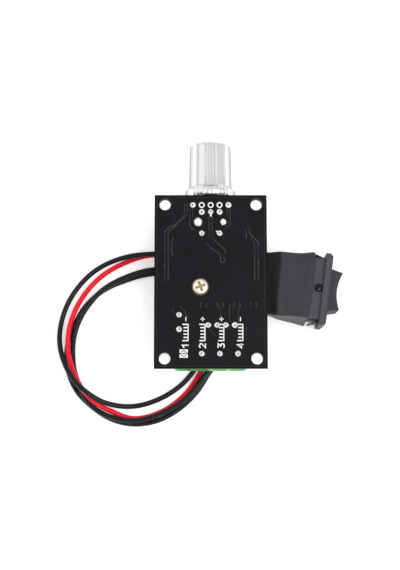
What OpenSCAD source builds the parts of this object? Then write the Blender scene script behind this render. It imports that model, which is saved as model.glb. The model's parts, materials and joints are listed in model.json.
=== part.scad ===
// Motor speed controller: a small black circuit board that lies with its solder side up.
// A potentiometer with a fluted knob stands at one end, a green screw terminal at the other.
// A rocker switch in a black boot lies beside it on four thin leads.
// Frame: +X right, +Y towards the knob, +Z out of the solder side.
// The origin is the centre of the four mounting holes, on the solder face.

/* [Board] */
// Width of the circuit board
board_w = 32; // [31:0.1:34]
// Length of the circuit board
board_l = 49.6; // [48.5:0.1:52]
// Thickness of the circuit board
board_t = 1.6; // [1.2:0.1:2]
// Distance between the mounting holes across the board
hole_pitch_x = 26; // [25:0.1:26.5]
// Distance between the mounting holes along the board
hole_pitch_y = 44; // [43:0.1:45]
// Diameter of the mounting holes
hole_d = 3.2; // [2.5:0.1:3.4]

/* [Knob] */
// Distance from the board to the axis of the knob
axis_h = 7; // [7:0.1:9]
// Diameter of the knob at its far end
knob_d = 12.1; // [11.6:0.1:12.4]
// Diameter of the knob above its skirt
knob_base_d = 12.5; // [12.4:0.1:13]
// Diameter of the skirt
skirt_d = 14.5; // [14:0.1:15]
// Length of the knob
knob_l = 15.9; // [14.8:0.1:18]
// Width of the straight part of the skirt
skirt_l = 2.2; // [1.5:0.1:2.5]
// Number of flutes
flute_count = 14; // [10:1:18]
// Depth of a flute
flute_depth = 0.35; // [0.2:0.05:0.5]
// Distance from the mounting bracket to the knob
knob_gap = 3.2; // [2.5:0.1:4]

/* [Potentiometer] */
// Diameter of the shaft
shaft_d = 6; // [5:0.1:6.4]
// Diameter of the threaded bushing
bushing_d = 7; // [6.9:0.1:8]
// Length of the bushing in front of the bracket
bushing_l = 5; // [4:0.1:6]
// Width of the resistor housing
pot_w = 9.4; // [9.2:0.1:10]
// Height of the resistor housing
pot_h = 11.4; // [11.2:0.1:12.4]
// Depth of the resistor housing
pot_depth = 4.2; // [4.2:0.1:5]
// Depth of the switch case
pot_switch_depth = 4.4; // [4:0.1:5]
// Thickness of the bracket sheet
bracket_t = 0.8; // [0.6:0.1:1]

/* [Screw terminal] */
// Number of poles
pole_count = 4; // [4:1:4]
// Distance between poles
pole_pitch = 5.08; // [5:0.01:5.2]
// Depth of the terminal housing
terminal_depth = 7.8; // [7.8:0.1:9]
// Height of the terminal housing
terminal_h = 10.2; // [10.1:0.1:11]
// Lift of a clamp cage for one turn of its screw
clamp_lead = 0.5; // [0.4:0.05:0.5]

/* [Header and plug] */
// Distance between the pins
header_pitch = 2.5; // [2.5:0.01:2.54]
// Height of the header shell
header_h = 7; // [6:0.1:7.4]
// Height of the mated plug above the board
plug_top = 9.8; // [9.6:0.1:10]

/* [Capacitor] */
// Diameter of the capacitor can
can_d = 8; // [6:0.1:8.2]
// Height of the capacitor can
can_h = 12; // [9:0.1:13]

/* [Heat sink] */
// Width of the heat sink
sink_w = 14; // [13:0.1:14]
// Depth of the heat sink
sink_d = 10; // [9.4:0.1:10]
// Height of the heat sink's face above the board
sink_lift = 2.6; // [2.5:0.1:3]
// Number of fins
fin_count = 6; // [4:1:6]
// Thickness of a fin
fin_t = 1; // [0.8:0.1:1.2]

/* [Rocker switch] */
// Length of the switch flange
flange_l = 21; // [20.8:0.1:21.2]
// Width of the switch flange
flange_w = 15; // [14.6:0.1:15.4]
// Thickness of the switch flange
flange_t = 1.95; // [1.6:0.05:2.2]
// Radius of the corners of the switch flange
flange_corner = 2; // [1:0.1:2.2]
// Overhang of the flange past each end of the switch body
flange_lip = 1.9; // [1.85:0.05:1.95]
// Width of the switch body
body_w = 13; // [12.8:0.1:13.1]
// Depth of the switch body behind the flange
body_depth = 11; // [11:0.1:12]
// Angle of the rocker on each side of its middle position
rocker_angle = 12; // [8:1:12]

/* [Boot] */
// Wall of the boot
boot_wall = 0.8; // [0.5:0.05:0.8]
// Clearance between the boot and the switch body
boot_gap = 0.15; // [0.05:0.05:0.15]

/* [Leads] */
// Outer diameter of a lead
lead_d = 1.5; // [1.2:0.05:1.5]

/* [Hidden] */
$fn = 48;

// Overrun of every cut
cut = 0.5;
// Running clearance of parts that turn in each other
run_gap = 0.05;
// Assembly clearance of parts that drop into each other
fit_gap = 0.1;

// Pin grid of the board
grid_pitch = 2.54;
pin_hole_d = 1;
pin_d = 0.6;
pad_d = 1.7;
pad_t = 0.06;
joint_h = 0.9;
joint_shares = [[0, 0], [1, 0], [0.82, 0.22], [0.4, 0.62], [0.32, 0.92], [0.2, 1], [0, 1]];

// The axis of the knob, and the table that the object lies on
axis_z = -(board_t + axis_h);
table_z = axis_z - skirt_d / 2;
// Height of the table above the component face
table_h = -table_z - board_t;

// Places along the potentiometer, from the front plate backwards
front_y = 22.3;
plate_back_y = front_y - bracket_t;
leg_y = front_y - bracket_t / 2;
leg_x = 2 * grid_pitch;
leg_w = 1;
leg_hole_d = 1.4;
lug_plate_t = 0.6;
lug_front_y = plate_back_y - pot_depth;
lug_back_y = lug_front_y - lug_plate_t;
lug_x = 3.6;
lug_w = 1.6;
lug_hole_d = 1.9;
lug_joint_d = 2.3;
pot_lift = 1;
pot_wall = 0.5;
strap_t = 0.5;
strap_h = 4;
plate_w = pot_w + 2 * strap_t + 0.8 * leg_w;
wafer_t = 0.8;
pot_pin_t = 0.5;
pot_pin_w = 0.7;
pot_pin_y = 19.9;
pot_pin_top = 2.6;
wafer_front_y = pot_pin_y + pot_pin_t / 2 + wafer_t;
bushing_flange_d = pot_w - 2 * pot_wall - 2 * fit_gap - pot_wall;
neck_d = 4;
tail_d = 2;
rotor_t = 1.5;
rotor_gap = 0.2;
rotor_air = 0.5;
rotor_d = pot_w - 2 * pot_wall - 2 * rotor_air;
shaft_l = 14.7;
switch_pin_y = 13.72;
switch_lift = 1.4;
switch_wall = 0.7;
cam_d = 4.4;
cam_t = 1.2;
cam_lobe_r = 3.2;
cam_lobe_w = 1.4;
leaf_t = 0.3;
leaf_w = 1.4;

// Knob
knob_y = front_y + knob_gap;
cone_l = 1.2;
knob_round = 1.1;
knob_bore_d = 10.4;
knob_bore_l = 4.4;
knob_cap_t = 1.7;
insert_wall = 1.4;
insert_d = shaft_d + 2 * insert_wall;
flute_r = 1.5;

// Screw terminal, heights from the component face
terminal_y = -24.85;
terminal_back_y = terminal_y + terminal_depth;
terminal_w = pole_count * pole_pitch;
terminal_pin_y = -20.6;
terminal_pad_w = 2.3;
cage_w = 3.8;
cage_depth = 3.4;
cage_wall = 0.55;
cage_lift = 1;
cage_floor = 1;
cage_window_h = 3;
cage_top_t = 1.4;
cage_turns = 4;
cage_travel = cage_turns * clamp_lead;
chamber_gap = 0.12;
chamber_back_wall = 1;
strip_t = 0.6;
strip_w = 2.2;
strip_gap = 0.2;
chamber_top = cage_lift + cage_floor + cage_window_h + cage_top_t + cage_travel + strip_gap;
clamp_thread_d = 2.5;
clamp_head_d = 3.7;
clamp_head_h = 1.1;
clamp_slot_w = 0.6;
clamp_slot_depth = 0.6;
entry_w = 3.6;
entry_h = 4.2;
entry_sill = 1.4;
housing_slope = 1.6;
housing_slope_drop = 2.6;
groove_w = 0.3;

// Header and plug
header_x = 3;
header_pin_y = -12.54;
header_l = 12.4;
header_depth = 5.75;
header_back = 2.34;
header_floor = 1.6;
header_end_wall = 0.8;
header_side_wall = 0.5;
header_pin_w = 0.64;
header_pin_top = 5.6;
header_slot_w = 1.6;
header_slot_drop = 4.4;
contact_w = 1.7;
contact_wall = 0.35;
contact_lift = 1;
contact_top = 6.8;
plug_rib_w = 1.2;
plug_rib_t = 0.4;

// Capacitor
can_x = -8.95;
can_y = -11.68;
can_pin_pitch = 4.1;
can_pin_y = [for (s = [1, -1]) can_y + s * can_pin_pitch / 2];
can_wall = 0.3;
bung_h = 2.2;
bead_h = 1.5;
bead_depth = 0.35;
can_lift = 0.2;
can_lead_d = 0.6;

// Heat sink and the parts under it
sink_x = -12.4;
sink_y = -7.2;
sink_base_t = 2;
boss_d = 4.8;
boss_top_d = 5.2;
boss_top_h = 2.6;
sink_screw_x = -2.95;
sink_screw_y = -1.71;
sink_thread_d = 2.5;
sink_head_d = 4.85;
sink_head_h = 1.5;
sink_screw_l = 8;
recess_w = 0.75;
recess_l = 2.9;
recess_depth = 0.8;
pad_film_t = 0.3;
transistor_x = -9.4;
transistor_y = -1.9;
transistor_l = 6.1;
transistor_w = 6.4;
package_t = 2.3;
tab_t = 0.5;
tab_w = 5.2;
tab_out = 1.8;
foot_w = 0.8;
diode_x = 2.4;
diode_y = -2.6;
diode_l = 4.4;
diode_w = 3.6;
diode_foot_out = 0.6;

// Small parts on the component face, places and turns chosen by hand
chip_x = 8.8;
chip_y = 6.2;
chip_l = 4.9;
chip_w = 3.9;
chip_t = 1.5;
chip_leg_pitch = 1.27;
chip_leg_w = 0.4;
chip_leg_out = 1;
chip_leg_t = 0.25;
resistor_l = 2;
resistor_w = 1.25;
resistor_t = 0.55;
resistor_places = [[12.6, 14.5], [12.6, 11.9], [8.6, 14.5], [8.6, 11.9], [-9.2, 12.6], [-9.2, 15.2],
    [-13, 8.4], [-13, 11], [6.9, -7.4], [10.8, -7.4]];
capacitor_l = 2;
capacitor_w = 1.25;
capacitor_t = 0.9;
capacitor_places = [[12.6, 17.1], [8.6, 17.1], [-9.2, 9.2], [-13, 13.6], [14, -10.4]];
cap_share = 0.2;
diode_places = [[-13, 17.4], [12.1, 10]];
small_diode_l = 2.7;
small_diode_w = 1.6;
small_diode_t = 1.1;
small_diode_foot = 0.5;

// Rocker switch: x out of the flange, y along the flange, z up
switch_x = 31.9;
switch_y = -1.89;
switch_turn = -7.35;
switch_z = table_z + flange_w / 2;
body_l = flange_l - 2 * flange_lip;
body_wall = 0.9;
opening_l = 13.8;
opening_w = 10.4;
rocker_w = 10;
rocker_foot_l = 13.2;
rocker_tip_x = 5.4;
rocker_tip_l = 10.7;
rocker_mid_x = 4.2;
rocker_depth = 2.3;
pivot_x = -1.25;
pivot_d = 2.3;
pivot_hole_d = 2.45;
pivot_reach = 5.95;
pivot_tip_d = 1.5;
pivot_tip_l = 0.3;
latch_t = 0.45;
latch_h = 5;
latch_l = 2.8;
latch_gap = 0.4;
latch_root = body_l / 2 + latch_gap;
latch_flare = 1;
latch_tooth = 0.35;
latch_teeth = 3;
flange_edge = 0.5;
pole_z = 2.9;
column_y = 5.7;
tab_blade_w = 4.4;
tab_blade_t = 0.6;
tab_end_x = -15.6;
base_t = 1.5;
head_w = 1.6;
head_t = 0.6;
blade_x = -6.45;
blade_t = 0.5;
blade_l = 11.8;
blade_w = 3.2;
// Turn of the blades for each degree of the rocker, and their gaps to the fixed contacts
blade_share = 0.6;
end_head_gap = 0.16;
mid_head_gap = 0.3;
end_head_x = blade_x - blade_t / 2 - blade_l / 2 * sin(blade_share * rocker_angle) - end_head_gap;
mid_head_x = blade_x - blade_t / 2 - mid_head_gap;
stem_d = 3;
stem_bore_d = 1.9;
stem_l = 2.3;
plunger_d = 1.8;
plunger_l = 2.5;
plunger_gap = 0.3;
spring_l = 1.6;
spring_bore_d = 1.2;
link_d = 0.8;
link_x = [-12.4, -14.2];

// Boot, places along the switch: mouth, fold, step under the board, back, tail
boot_l = body_l + 2 * boot_gap + 2 * boot_wall;
boot_w = body_w + 2 * boot_gap + 2 * boot_wall;
boot_mouth_x = -3;
boot_fold_x = -13.1;
boot_step_x = -14.9;
boot_back_x = -18.6;
boot_tail_x = -19.2;
boot_end_x = -20.2;
boot_step_top = 6.05;
boot_step_in = 0.25;
boot_step_l = boot_l - 2 * boot_step_in;
boot_tail_l = 9;
boot_tail_h = 4;
boot_corner = boot_wall + 2 * boot_gap;
// The latches hold the mouth open
boot_flare = 1.2;

// Leads: sides of the swept tube, and routes chosen by hand from the boot to the plug
lead_sides = 8;
lead_z = -15.05;
// Heading of the leads where they leave the boot
tail_heading = [-cos(switch_turn), -sin(switch_turn), 0];
plug_lead_z = -11.4;
wire_black_1_route = [[11.8, 3.4, -13.8], [10.2, 3.6, -13.8], [4.8, 8.4, -14.9], [-8, 10, -14],
    [-17, 10, -13.4], [-25, 9, -13.4], [-33, 5.9, -14.9], [-39.4, -0.2, lead_z], [-43.3, -8, lead_z],
    [-44.2, -15.6, -14.2], [-42.2, -22.8, -11.7], [-38.7, -28.2, -10.7], [-35.3, -31.2, -10.7],
    [-30.6, -33.8, -12.3], [-22.8, -34.8, -14.9], [-14.8, -32.6, lead_z], [-7.6, -27.7, lead_z],
    [-2.7, -20.8, lead_z], [-0.8, -15.6, lead_z], [-0.75, -14, -14.6], [-0.75, -12.9, -13.5],
    [-0.75, -12.54, plug_lead_z]];
wire_red_route = [[11.6, 1.6, -13.8], [9.5, 1.8, -13.8], [4.2, 6.8, -14.9], [-8, 8.2, lead_z],
    [-17, 9.9, lead_z], [-25, 7.7, lead_z], [-33, 2.8, lead_z], [-38.4, -4.2, -13.9],
    [-41.2, -11.6, -13.4], [-41.5, -19, -13.2], [-39.5, -25.6, -12.6], [-36.3, -31, -12.3],
    [-33.4, -33.7, -12.6], [-29.3, -36, -14.2], [-22.4, -38.3, lead_z], [-14.2, -36.3, lead_z],
    [-7.3, -31.2, lead_z], [-2.4, -24, lead_z], [1.7, -15.6, lead_z], [1.75, -14, -14.6],
    [1.75, -12.9, -13.5], [1.75, -12.54, plug_lead_z]];
wire_black_2_route = [[11.4, -0.2, -13.8], [8.7, 0.1, -13.8], [3.4, 5.2, -14.9], [-17, 5.3, -13.5],
    [-25, 3, -13.45], [-31.7, -0.8, -13.45], [-36, -5.6, -13.45], [-38.5, -10, -13.5], [-40, -15, -14],
    [-40.3, -20, lead_z], [-39.7, -24.6, -14.7], [-38.3, -28.4, -14], [-36.3, -32.7, -13.4],
    [-32.8, -36, -13.45], [-28, -38.2, -13.45], [-21, -38.9, -13.45], [-13.6, -36.6, -13.45],
    [-7, -32.5, -13.45], [-1.4, -25.5, -13.4], [3.8, -16.1, -14.3], [4.25, -14, -14.6],
    [4.25, -12.9, -13.5], [4.25, -12.54, plug_lead_z]];
wire_black_3_route = [[11.2, -2, -13.8], [7.9, -1.6, -13.8], [2.6, 3.6, lead_z], [-17, 4.3, lead_z],
    [-25, 2.3, lead_z], [-32, -1, lead_z], [-36.9, -5.6, lead_z], [-40.2, -11.6, lead_z],
    [-42.1, -18, lead_z], [-41.6, -24.4, lead_z], [-39.2, -30, lead_z], [-34.6, -34.8, lead_z],
    [-29, -38.4, lead_z], [-22.6, -39.9, lead_z], [-15.4, -38.9, lead_z], [-9, -35.4, lead_z],
    [-4, -30.6, lead_z], [-0.1, -24.6, lead_z], [6.5, -15.9, lead_z], [6.75, -14, -14.6],
    [6.75, -12.9, -13.5], [6.75, -12.54, plug_lead_z]];
// Lead ends inside the boot, in the switch's own frame, from the terminals to the boot's tail
tail_routes = [
    [[-15.6, 0, 2.9], [-16.3, 0.4, 2.7], [-16.8, 2.2, 1.2], [-16.8, 2.7, -2], [-17, 2.7, -4.4],
        [-18, 2.7, -5.45]],
    [[-15.6, 0, -2.9], [-16.1, 0.4, -3], [-16.7, 0.9, -4.1], [-17.8, 0.9, -5.3], [-18.6, 0.9, -5.45]],
    [[-15.6, -5.7, 2.9], [-16.2, -5.5, 2.8], [-16.9, -3.9, 2], [-17, -1.3, 0.4], [-17, -0.9, -2.2],
        [-17.1, -0.9, -4.5], [-18, -0.9, -5.45]],
    [[-15.6, -5.7, -2.9], [-16.3, -5.3, -3.1], [-17, -3.5, -4.5], [-18, -2.7, -5.4],
        [-18.6, -2.7, -5.45]]];

// Places of the through holes and of the joints on the solder side
row_x = [-grid_pitch, 0, grid_pitch];
pole_x = [for (i = [0 : pole_count - 1]) (i - (pole_count - 1) / 2) * pole_pitch];
header_pin_x = [for (i = [0 : 3]) header_x + (i - 1.5) * header_pitch];
round_joints = concat(
    [for (s = [-1, 1]) [s * leg_x, leg_y]],
    [for (x = row_x) [x, pot_pin_y]],
    [for (s = [-1, 1]) [s * grid_pitch, switch_pin_y]],
    [for (x = header_pin_x) [x, header_pin_y]],
    [for (y = can_pin_y) [can_x, y]],
    [for (x = pole_x) [x, terminal_pin_y]]);

// Turns the component side into a frame with z as the height off the component face
module under_board() {
    translate([0, 0, -board_t]) mirror([0, 0, 1]) children();
}

// Places a piece on the knob's axis, with z along the axis from the given place
module on_axis(y) {
    translate([0, y, axis_z]) rotate([-90, 0, 0]) children();
}

// Places a piece in the frame of the rocker switch
module at_switch() {
    translate([switch_x, switch_y, switch_z]) rotate([0, 0, switch_turn]) children();
}

// Block centred in x and y that stands on z
module block(size, z = 0) {
    translate([-size[0] / 2, -size[1] / 2, z]) cube(size);
}

// Block centred in y and z that starts at x
module bar(x, size) {
    translate([x, -size[1] / 2, -size[2] / 2]) cube(size);
}

// Bar with rounded corners, seen along x
module rounded_bar(x, size, r) {
    bar(x, [size[0], size[1] - 2 * r, size[2]]);
    bar(x, [size[0], size[1], size[2] - 2 * r]);
    for (y = [-1, 1], z = [-1, 1]) translate([x, y * (size[1] / 2 - r), z * (size[2] / 2 - r)])
        rotate([0, 90, 0]) cylinder(r = r, h = size[0]);
}

function unit(v) = v / norm(v);
function heading(p, i, from, to) = i == 0 ? from : i == len(p) - 1 ? to
    : unit(unit(p[i + 1] - p[i]) + unit(p[i] - p[i - 1]));
function sides_of(p, i, last, from, to) =
    let (d = heading(p, i, from, to), s = unit(last - (last * d) * d))
    i == len(p) - 1 ? [s] : concat([s], sides_of(p, i + 1, s, from, to));

// Tube swept along a list of points, with the headings of its two ends
module tube(route, d, from, to) {
    n = lead_sides;
    side = sides_of(route, 0, [0, 0, 1], from, to);
    rings = [for (i = [0 : len(route) - 1]) let (h = heading(route, i, from, to), t = cross(h, side[i]))
        for (k = [0 : n - 1]) route[i] + d / 2 * (cos(360 * k / n) * side[i] + sin(360 * k / n) * t)];
    walls = [for (i = [0 : len(route) - 2]) for (k = [0 : n - 1])
        let (a = i * n + k, b = i * n + (k + 1) % n) each [[a, a + n, b + n], [a, b + n, b]]];
    ends = [[for (k = [0 : n - 1]) k], [for (k = [n - 1 : -1 : 0]) (len(route) - 1) * n + k]];
    polyhedron(points = rings, faces = concat(walls, ends));
}

module circuit_board() {
    color([0.11, 0.11, 0.12]) difference() {
        block([board_w, board_l, board_t], -board_t);
        for (x = [-1, 1], y = [-1, 1]) hole([x * hole_pitch_x / 2, y * hole_pitch_y / 2], hole_d);
        for (p = round_joints) hole(p, pin_hole_d);
        for (x = row_x) hole([x, leg_y], pin_hole_d);
        for (s = [-1, 1]) hole([s * leg_x, leg_y], leg_hole_d);
        for (s = [-1, 1]) hole([s * lug_x, lug_mid_y()], lug_hole_d);
        hole([sink_screw_x, sink_screw_y], sink_thread_d + 2 * fit_gap);
    }
}

function lug_mid_y() = (lug_front_y + lug_back_y) / 2;

module hole(p, d) {
    translate([p[0], p[1], -board_t - cut]) cylinder(d = d, h = board_t + 2 * cut);
}

// Tinned rings of the three empty holes and the square pad of the first pole
module plated_pads() {
    color([0.75, 0.76, 0.74]) {
        for (x = row_x) translate([x, leg_y, 0]) difference() {
            cylinder(d = pad_d, h = pad_t);
            translate([0, 0, -cut]) cylinder(d = pin_hole_d, h = pad_t + 2 * cut);
        }
        translate([pole_x[0], terminal_pin_y, 0]) difference() {
            block([terminal_pad_w, terminal_pad_w, pad_t]);
            translate([0, 0, -cut]) cylinder(d = pad_d + 2 * fit_gap, h = pad_t + 2 * cut);
        }
    }
}

module solder_joint(d, h) {
    rotate_extrude() polygon([for (q = joint_shares) [q[0] * d / 2, q[1] * h]]);
}

module solder_joints() {
    color([0.8, 0.8, 0.8]) {
        for (p = round_joints) translate([p[0], p[1], 0]) solder_joint(pad_d, joint_h);
        for (s = [-1, 1]) translate([s * lug_x, lug_mid_y(), 0]) solder_joint(lug_joint_d, joint_h);
    }
}

// Sheet-metal bracket: front plate with legs, rear plate with lugs, straps between them
module pot_bracket() {
    plate_h = pot_lift + pot_h;
    color([0.7, 0.7, 0.68]) difference() {
        union() {
            translate([0, leg_y, 0]) under_board() block([plate_w, bracket_t, plate_h - pot_lift], pot_lift);
            for (s = [-1, 1]) translate([s * leg_x, leg_y, -board_t - pot_lift])
                block([leg_w, bracket_t, board_t + pot_lift]);
            translate([0, lug_mid_y(), 0]) under_board()
                block([pot_w, lug_plate_t, plate_h - pot_lift], pot_lift);
            for (s = [-1, 1]) translate([s * lug_x, lug_mid_y(), -board_t - pot_lift])
                block([lug_w, lug_plate_t, board_t + pot_lift]);
            for (s = [-1, 1]) translate([s * (pot_w + strap_t) / 2, (lug_back_y + front_y) / 2, axis_z])
                cube([strap_t, front_y - lug_back_y, strap_h], center = true);
        }
        on_axis(plate_back_y - cut) cylinder(d = bushing_d + 2 * fit_gap, h = bracket_t + 2 * cut);
        on_axis(lug_back_y - cut) cylinder(d = tail_d + 4 * fit_gap, h = lug_plate_t + 2 * cut);
    }
}

module pot_housing() {
    color([0.13, 0.13, 0.14]) difference() {
        translate([0, lug_front_y + pot_depth / 2, 0]) under_board() difference() {
            block([pot_w, pot_depth, pot_h], pot_lift);
            block([pot_w - 2 * pot_wall, pot_depth + 2 * cut, pot_h - 2 * pot_wall], pot_lift + pot_wall);
        }
        translate([0, pot_pin_y, 0]) under_board()
            block([3 * grid_pitch, pot_pin_t + 2 * fit_gap, pot_lift + 2 * pot_wall]);
    }
}

// Resistor wafer that the wiper sweeps
module pot_track() {
    color([0.42, 0.3, 0.16]) difference() {
        translate([0, wafer_front_y - wafer_t / 2, 0]) under_board()
            block([pot_w - 2 * pot_wall - 2 * fit_gap, wafer_t, pot_h - 2 * pot_wall - 2 * fit_gap],
                pot_lift + pot_wall + fit_gap);
        on_axis(wafer_front_y - wafer_t - cut) cylinder(d = neck_d + 4 * fit_gap, h = wafer_t + 2 * cut);
    }
}

module pot_pins() {
    color([0.75, 0.74, 0.7]) for (x = row_x) translate([x, pot_pin_y, 0]) under_board()
        block([pot_pin_w, pot_pin_t, pot_pin_top + board_t], -board_t);
}

module pot_bushing() {
    color([0.72, 0.7, 0.64]) difference() {
        union() {
            on_axis(wafer_front_y) cylinder(d = bushing_flange_d, h = plate_back_y - wafer_front_y);
            on_axis(plate_back_y) cylinder(d = bushing_d, h = bracket_t + bushing_l);
        }
        on_axis(wafer_front_y - cut)
            cylinder(d = shaft_d + 2 * run_gap, h = front_y + bushing_l - wafer_front_y + 2 * cut);
    }
}

module pot_shaft() {
    color([0.7, 0.7, 0.7]) {
        on_axis(wafer_front_y + rotor_gap) cylinder(d = shaft_d, h = shaft_l + leg_y - wafer_front_y);
        on_axis(rotor_y()) cylinder(d = neck_d, h = wafer_front_y + rotor_gap - rotor_y());
        on_axis(cam_y()) cylinder(d = tail_d, h = rotor_y() - cam_y());
    }
}

function rotor_y() = pot_pin_y - pot_pin_t / 2 - rotor_gap - rotor_t;
function cam_y() = lug_back_y - rotor_gap - cam_t;

// Rotor disc with the wiper's boss
module pot_rotor() {
    color([0.85, 0.83, 0.76]) on_axis(rotor_y()) difference() {
        cylinder(d = rotor_d, h = rotor_t);
        translate([0, 0, -cut]) cylinder(d = neck_d, h = rotor_t + 2 * cut);
    }
}

module pot_switch_case() {
    case_h = pot_h - switch_lift + pot_lift;
    color([0.14, 0.14, 0.15]) difference() {
        translate([0, lug_back_y - pot_switch_depth / 2, 0]) under_board()
            block([pot_w, pot_switch_depth, case_h], switch_lift);
        translate([0, lug_back_y - pot_switch_depth / 2 + switch_wall, 0]) under_board()
            block([pot_w - 2 * switch_wall, pot_switch_depth, case_h - 2 * switch_wall],
                switch_lift + switch_wall);
        for (s = [-1, 1]) translate([s * grid_pitch, switch_pin_y, 0]) under_board()
            block([pot_pin_w + 2 * fit_gap, pot_pin_t + 2 * fit_gap, switch_lift + switch_wall + cut]);
    }
}

// Cam on the shaft's tail that works the on and off contact
module pot_switch_cam() {
    color([0.9, 0.88, 0.8]) on_axis(cam_y()) difference() {
        union() {
            cylinder(d = cam_d, h = cam_t);
            translate([-cam_lobe_w / 2, 0, 0]) cube([cam_lobe_w, cam_lobe_r, cam_t]);
        }
        translate([0, 0, -cut]) cylinder(d = tail_d, h = cam_t + 2 * cut);
    }
}

// Two pins, one with a leaf that reaches over to the other
module pot_switch_contacts() {
    top = switch_lift + switch_wall + leaf_t;
    color([0.78, 0.7, 0.45]) {
        for (s = [-1, 1]) translate([s * grid_pitch, switch_pin_y, 0]) under_board()
            block([pot_pin_w, pot_pin_t, top + board_t], -board_t);
        translate([-grid_pitch / 2, switch_pin_y, 0]) under_board() block([grid_pitch, leaf_w, leaf_t], top);
        translate([-grid_pitch, switch_pin_y, 0]) under_board() block([pot_pin_w, leaf_w, leaf_t], top);
    }
}

// Knob: fluted grip on a wider skirt, hollow behind, bored for its insert
module knob() {
    grip_z = skirt_l + cone_l;
    rim = knob_d / 2 - knob_round;
    outline = concat([[0, 0], [skirt_d / 2, 0], [skirt_d / 2, skirt_l], [knob_base_d / 2, grip_z]],
        [for (a = [0 : 15 : 90]) [rim + knob_round * cos(a), knob_l - knob_round + knob_round * sin(a)]],
        [[0, knob_l]]);
    color([0.85, 0.85, 0.86]) on_axis(knob_y) difference() {
        intersection() {
            rotate_extrude() polygon(outline);
            union() {
                fluted_bar(skirt_d, grip_z);
                fluted_bar(knob_base_d, knob_l + cut);
            }
        }
        translate([0, 0, -cut]) cylinder(d = knob_bore_d, h = knob_bore_l + cut);
        cylinder(d = insert_d, h = knob_l - knob_cap_t);
    }
}

// Bar with flutes along its length
module fluted_bar(d, l) {
    linear_extrude(height = l) difference() {
        circle(d = d);
        for (i = [0 : flute_count - 1]) rotate(360 * (i + 0.5) / flute_count)
            translate([d / 2 + flute_r - flute_depth, 0]) circle(r = flute_r);
    }
}

// Moulded insert between the knob and the shaft
module knob_insert() {
    color([0.2, 0.2, 0.2]) on_axis(knob_y + knob_bore_l) difference() {
        cylinder(d = insert_d, h = knob_l - knob_cap_t - knob_bore_l);
        translate([0, 0, -cut]) cylinder(d = shaft_d, h = knob_l);
    }
}

// Middle of the clamp cages, in front of the contact strips
function cage_y() = terminal_back_y - chamber_back_wall - strip_t - 2 * strip_gap - cage_depth / 2;

module terminal_housing() {
    front = terminal_y;
    back = terminal_back_y;
    outline = [[back, 0], [front, 0], [front, terminal_h - housing_slope_drop],
        [front + housing_slope, terminal_h], [back, terminal_h]];
    chamber_w = cage_w + 2 * chamber_gap;
    chamber_front = cage_y() - cage_depth / 2 - chamber_gap;
    color([0.1, 0.5, 0.2]) under_board() difference() {
        rotate([90, 0, 90]) translate([0, 0, -terminal_w / 2])
            linear_extrude(height = terminal_w) polygon(outline);
        for (x = pole_x) translate([x, 0, 0]) {
            translate([-chamber_w / 2, chamber_front, -cut])
                cube([chamber_w, back - chamber_back_wall - chamber_front, chamber_top + cut]);
            translate([0, cage_y(), 0]) cylinder(d = clamp_head_d + 2 * fit_gap, h = terminal_h + cut);
            translate([-entry_w / 2, front - cut, entry_sill]) cube([entry_w, terminal_depth / 2, entry_h]);
        }
        for (x = pole_x) translate([x + pole_pitch / 2, back, terminal_h])
            cube([groove_w, 2 * terminal_depth, 2 * groove_w], center = true);
    }
}

// Contact strips: a bar through each cage, a leg behind it, a foot and a pin into the board
module terminal_contacts() {
    leg_front = terminal_back_y - chamber_back_wall - strip_gap - strip_t;
    bar_h = bar_level();
    foot_h = cage_lift - strip_gap - strip_t;
    bar_front = cage_y() - cage_depth / 2;
    color([0.78, 0.76, 0.7]) for (x = pole_x) under_board() translate([x - strip_w / 2, 0, 0]) {
        translate([0, bar_front, bar_h]) cube([strip_w, leg_front + strip_t - bar_front, strip_t]);
        translate([0, leg_front, foot_h]) cube([strip_w, strip_t, bar_h - foot_h]);
        translate([0, terminal_pin_y - pin_d / 2, foot_h])
            cube([strip_w, leg_front + strip_t - terminal_pin_y + pin_d / 2, strip_t]);
        translate([strip_w / 2 - pin_d / 2, terminal_pin_y - pin_d / 2, -board_t])
            cube([pin_d, pin_d, board_t + foot_h + strip_t]);
    }
}

// Height of the contact bar, just under the cage's thread bar when the cage is down
function bar_level() = cage_lift + cage_floor + cage_window_h - strip_t - strip_gap / 2;

module clamp_cage(i) {
    h = cage_floor + cage_window_h + cage_top_t;
    color([0.72, 0.7, 0.6]) under_board() translate([pole_x[i], cage_y(), cage_lift]) difference() {
        block([cage_w, cage_depth, h]);
        block([cage_w - 2 * cage_wall, cage_depth + 2 * cut, cage_window_h], cage_floor);
        translate([0, 0, h - cage_top_t - cut])
            cylinder(d = clamp_thread_d + 2 * run_gap, h = cage_top_t + 2 * cut);
    }
}

module clamp_screw(i) {
    tip = bar_level() + strip_t + run_gap;
    head = chamber_top + fit_gap;
    color([0.75, 0.75, 0.76]) under_board() translate([pole_x[i], cage_y(), 0]) difference() {
        union() {
            translate([0, 0, tip]) cylinder(d = clamp_thread_d, h = head - tip);
            translate([0, 0, head]) cylinder(d = clamp_head_d, h = clamp_head_h);
        }
        for (size = [[clamp_head_d + cut, clamp_slot_w], [clamp_slot_w, 0.7 * clamp_head_d]])
            block([size[0], size[1], clamp_slot_depth + cut], head + clamp_head_h - clamp_slot_depth);
    }
}

module clamp_screw_1() { clamp_screw(0); }
module clamp_screw_2() { clamp_screw(1); }
module clamp_screw_3() { clamp_screw(2); }
module clamp_screw_4() { clamp_screw(3); }
module clamp_cage_1() { clamp_cage(0); }
module clamp_cage_2() { clamp_cage(1); }
module clamp_cage_3() { clamp_cage(2); }
module clamp_cage_4() { clamp_cage(3); }

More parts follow.
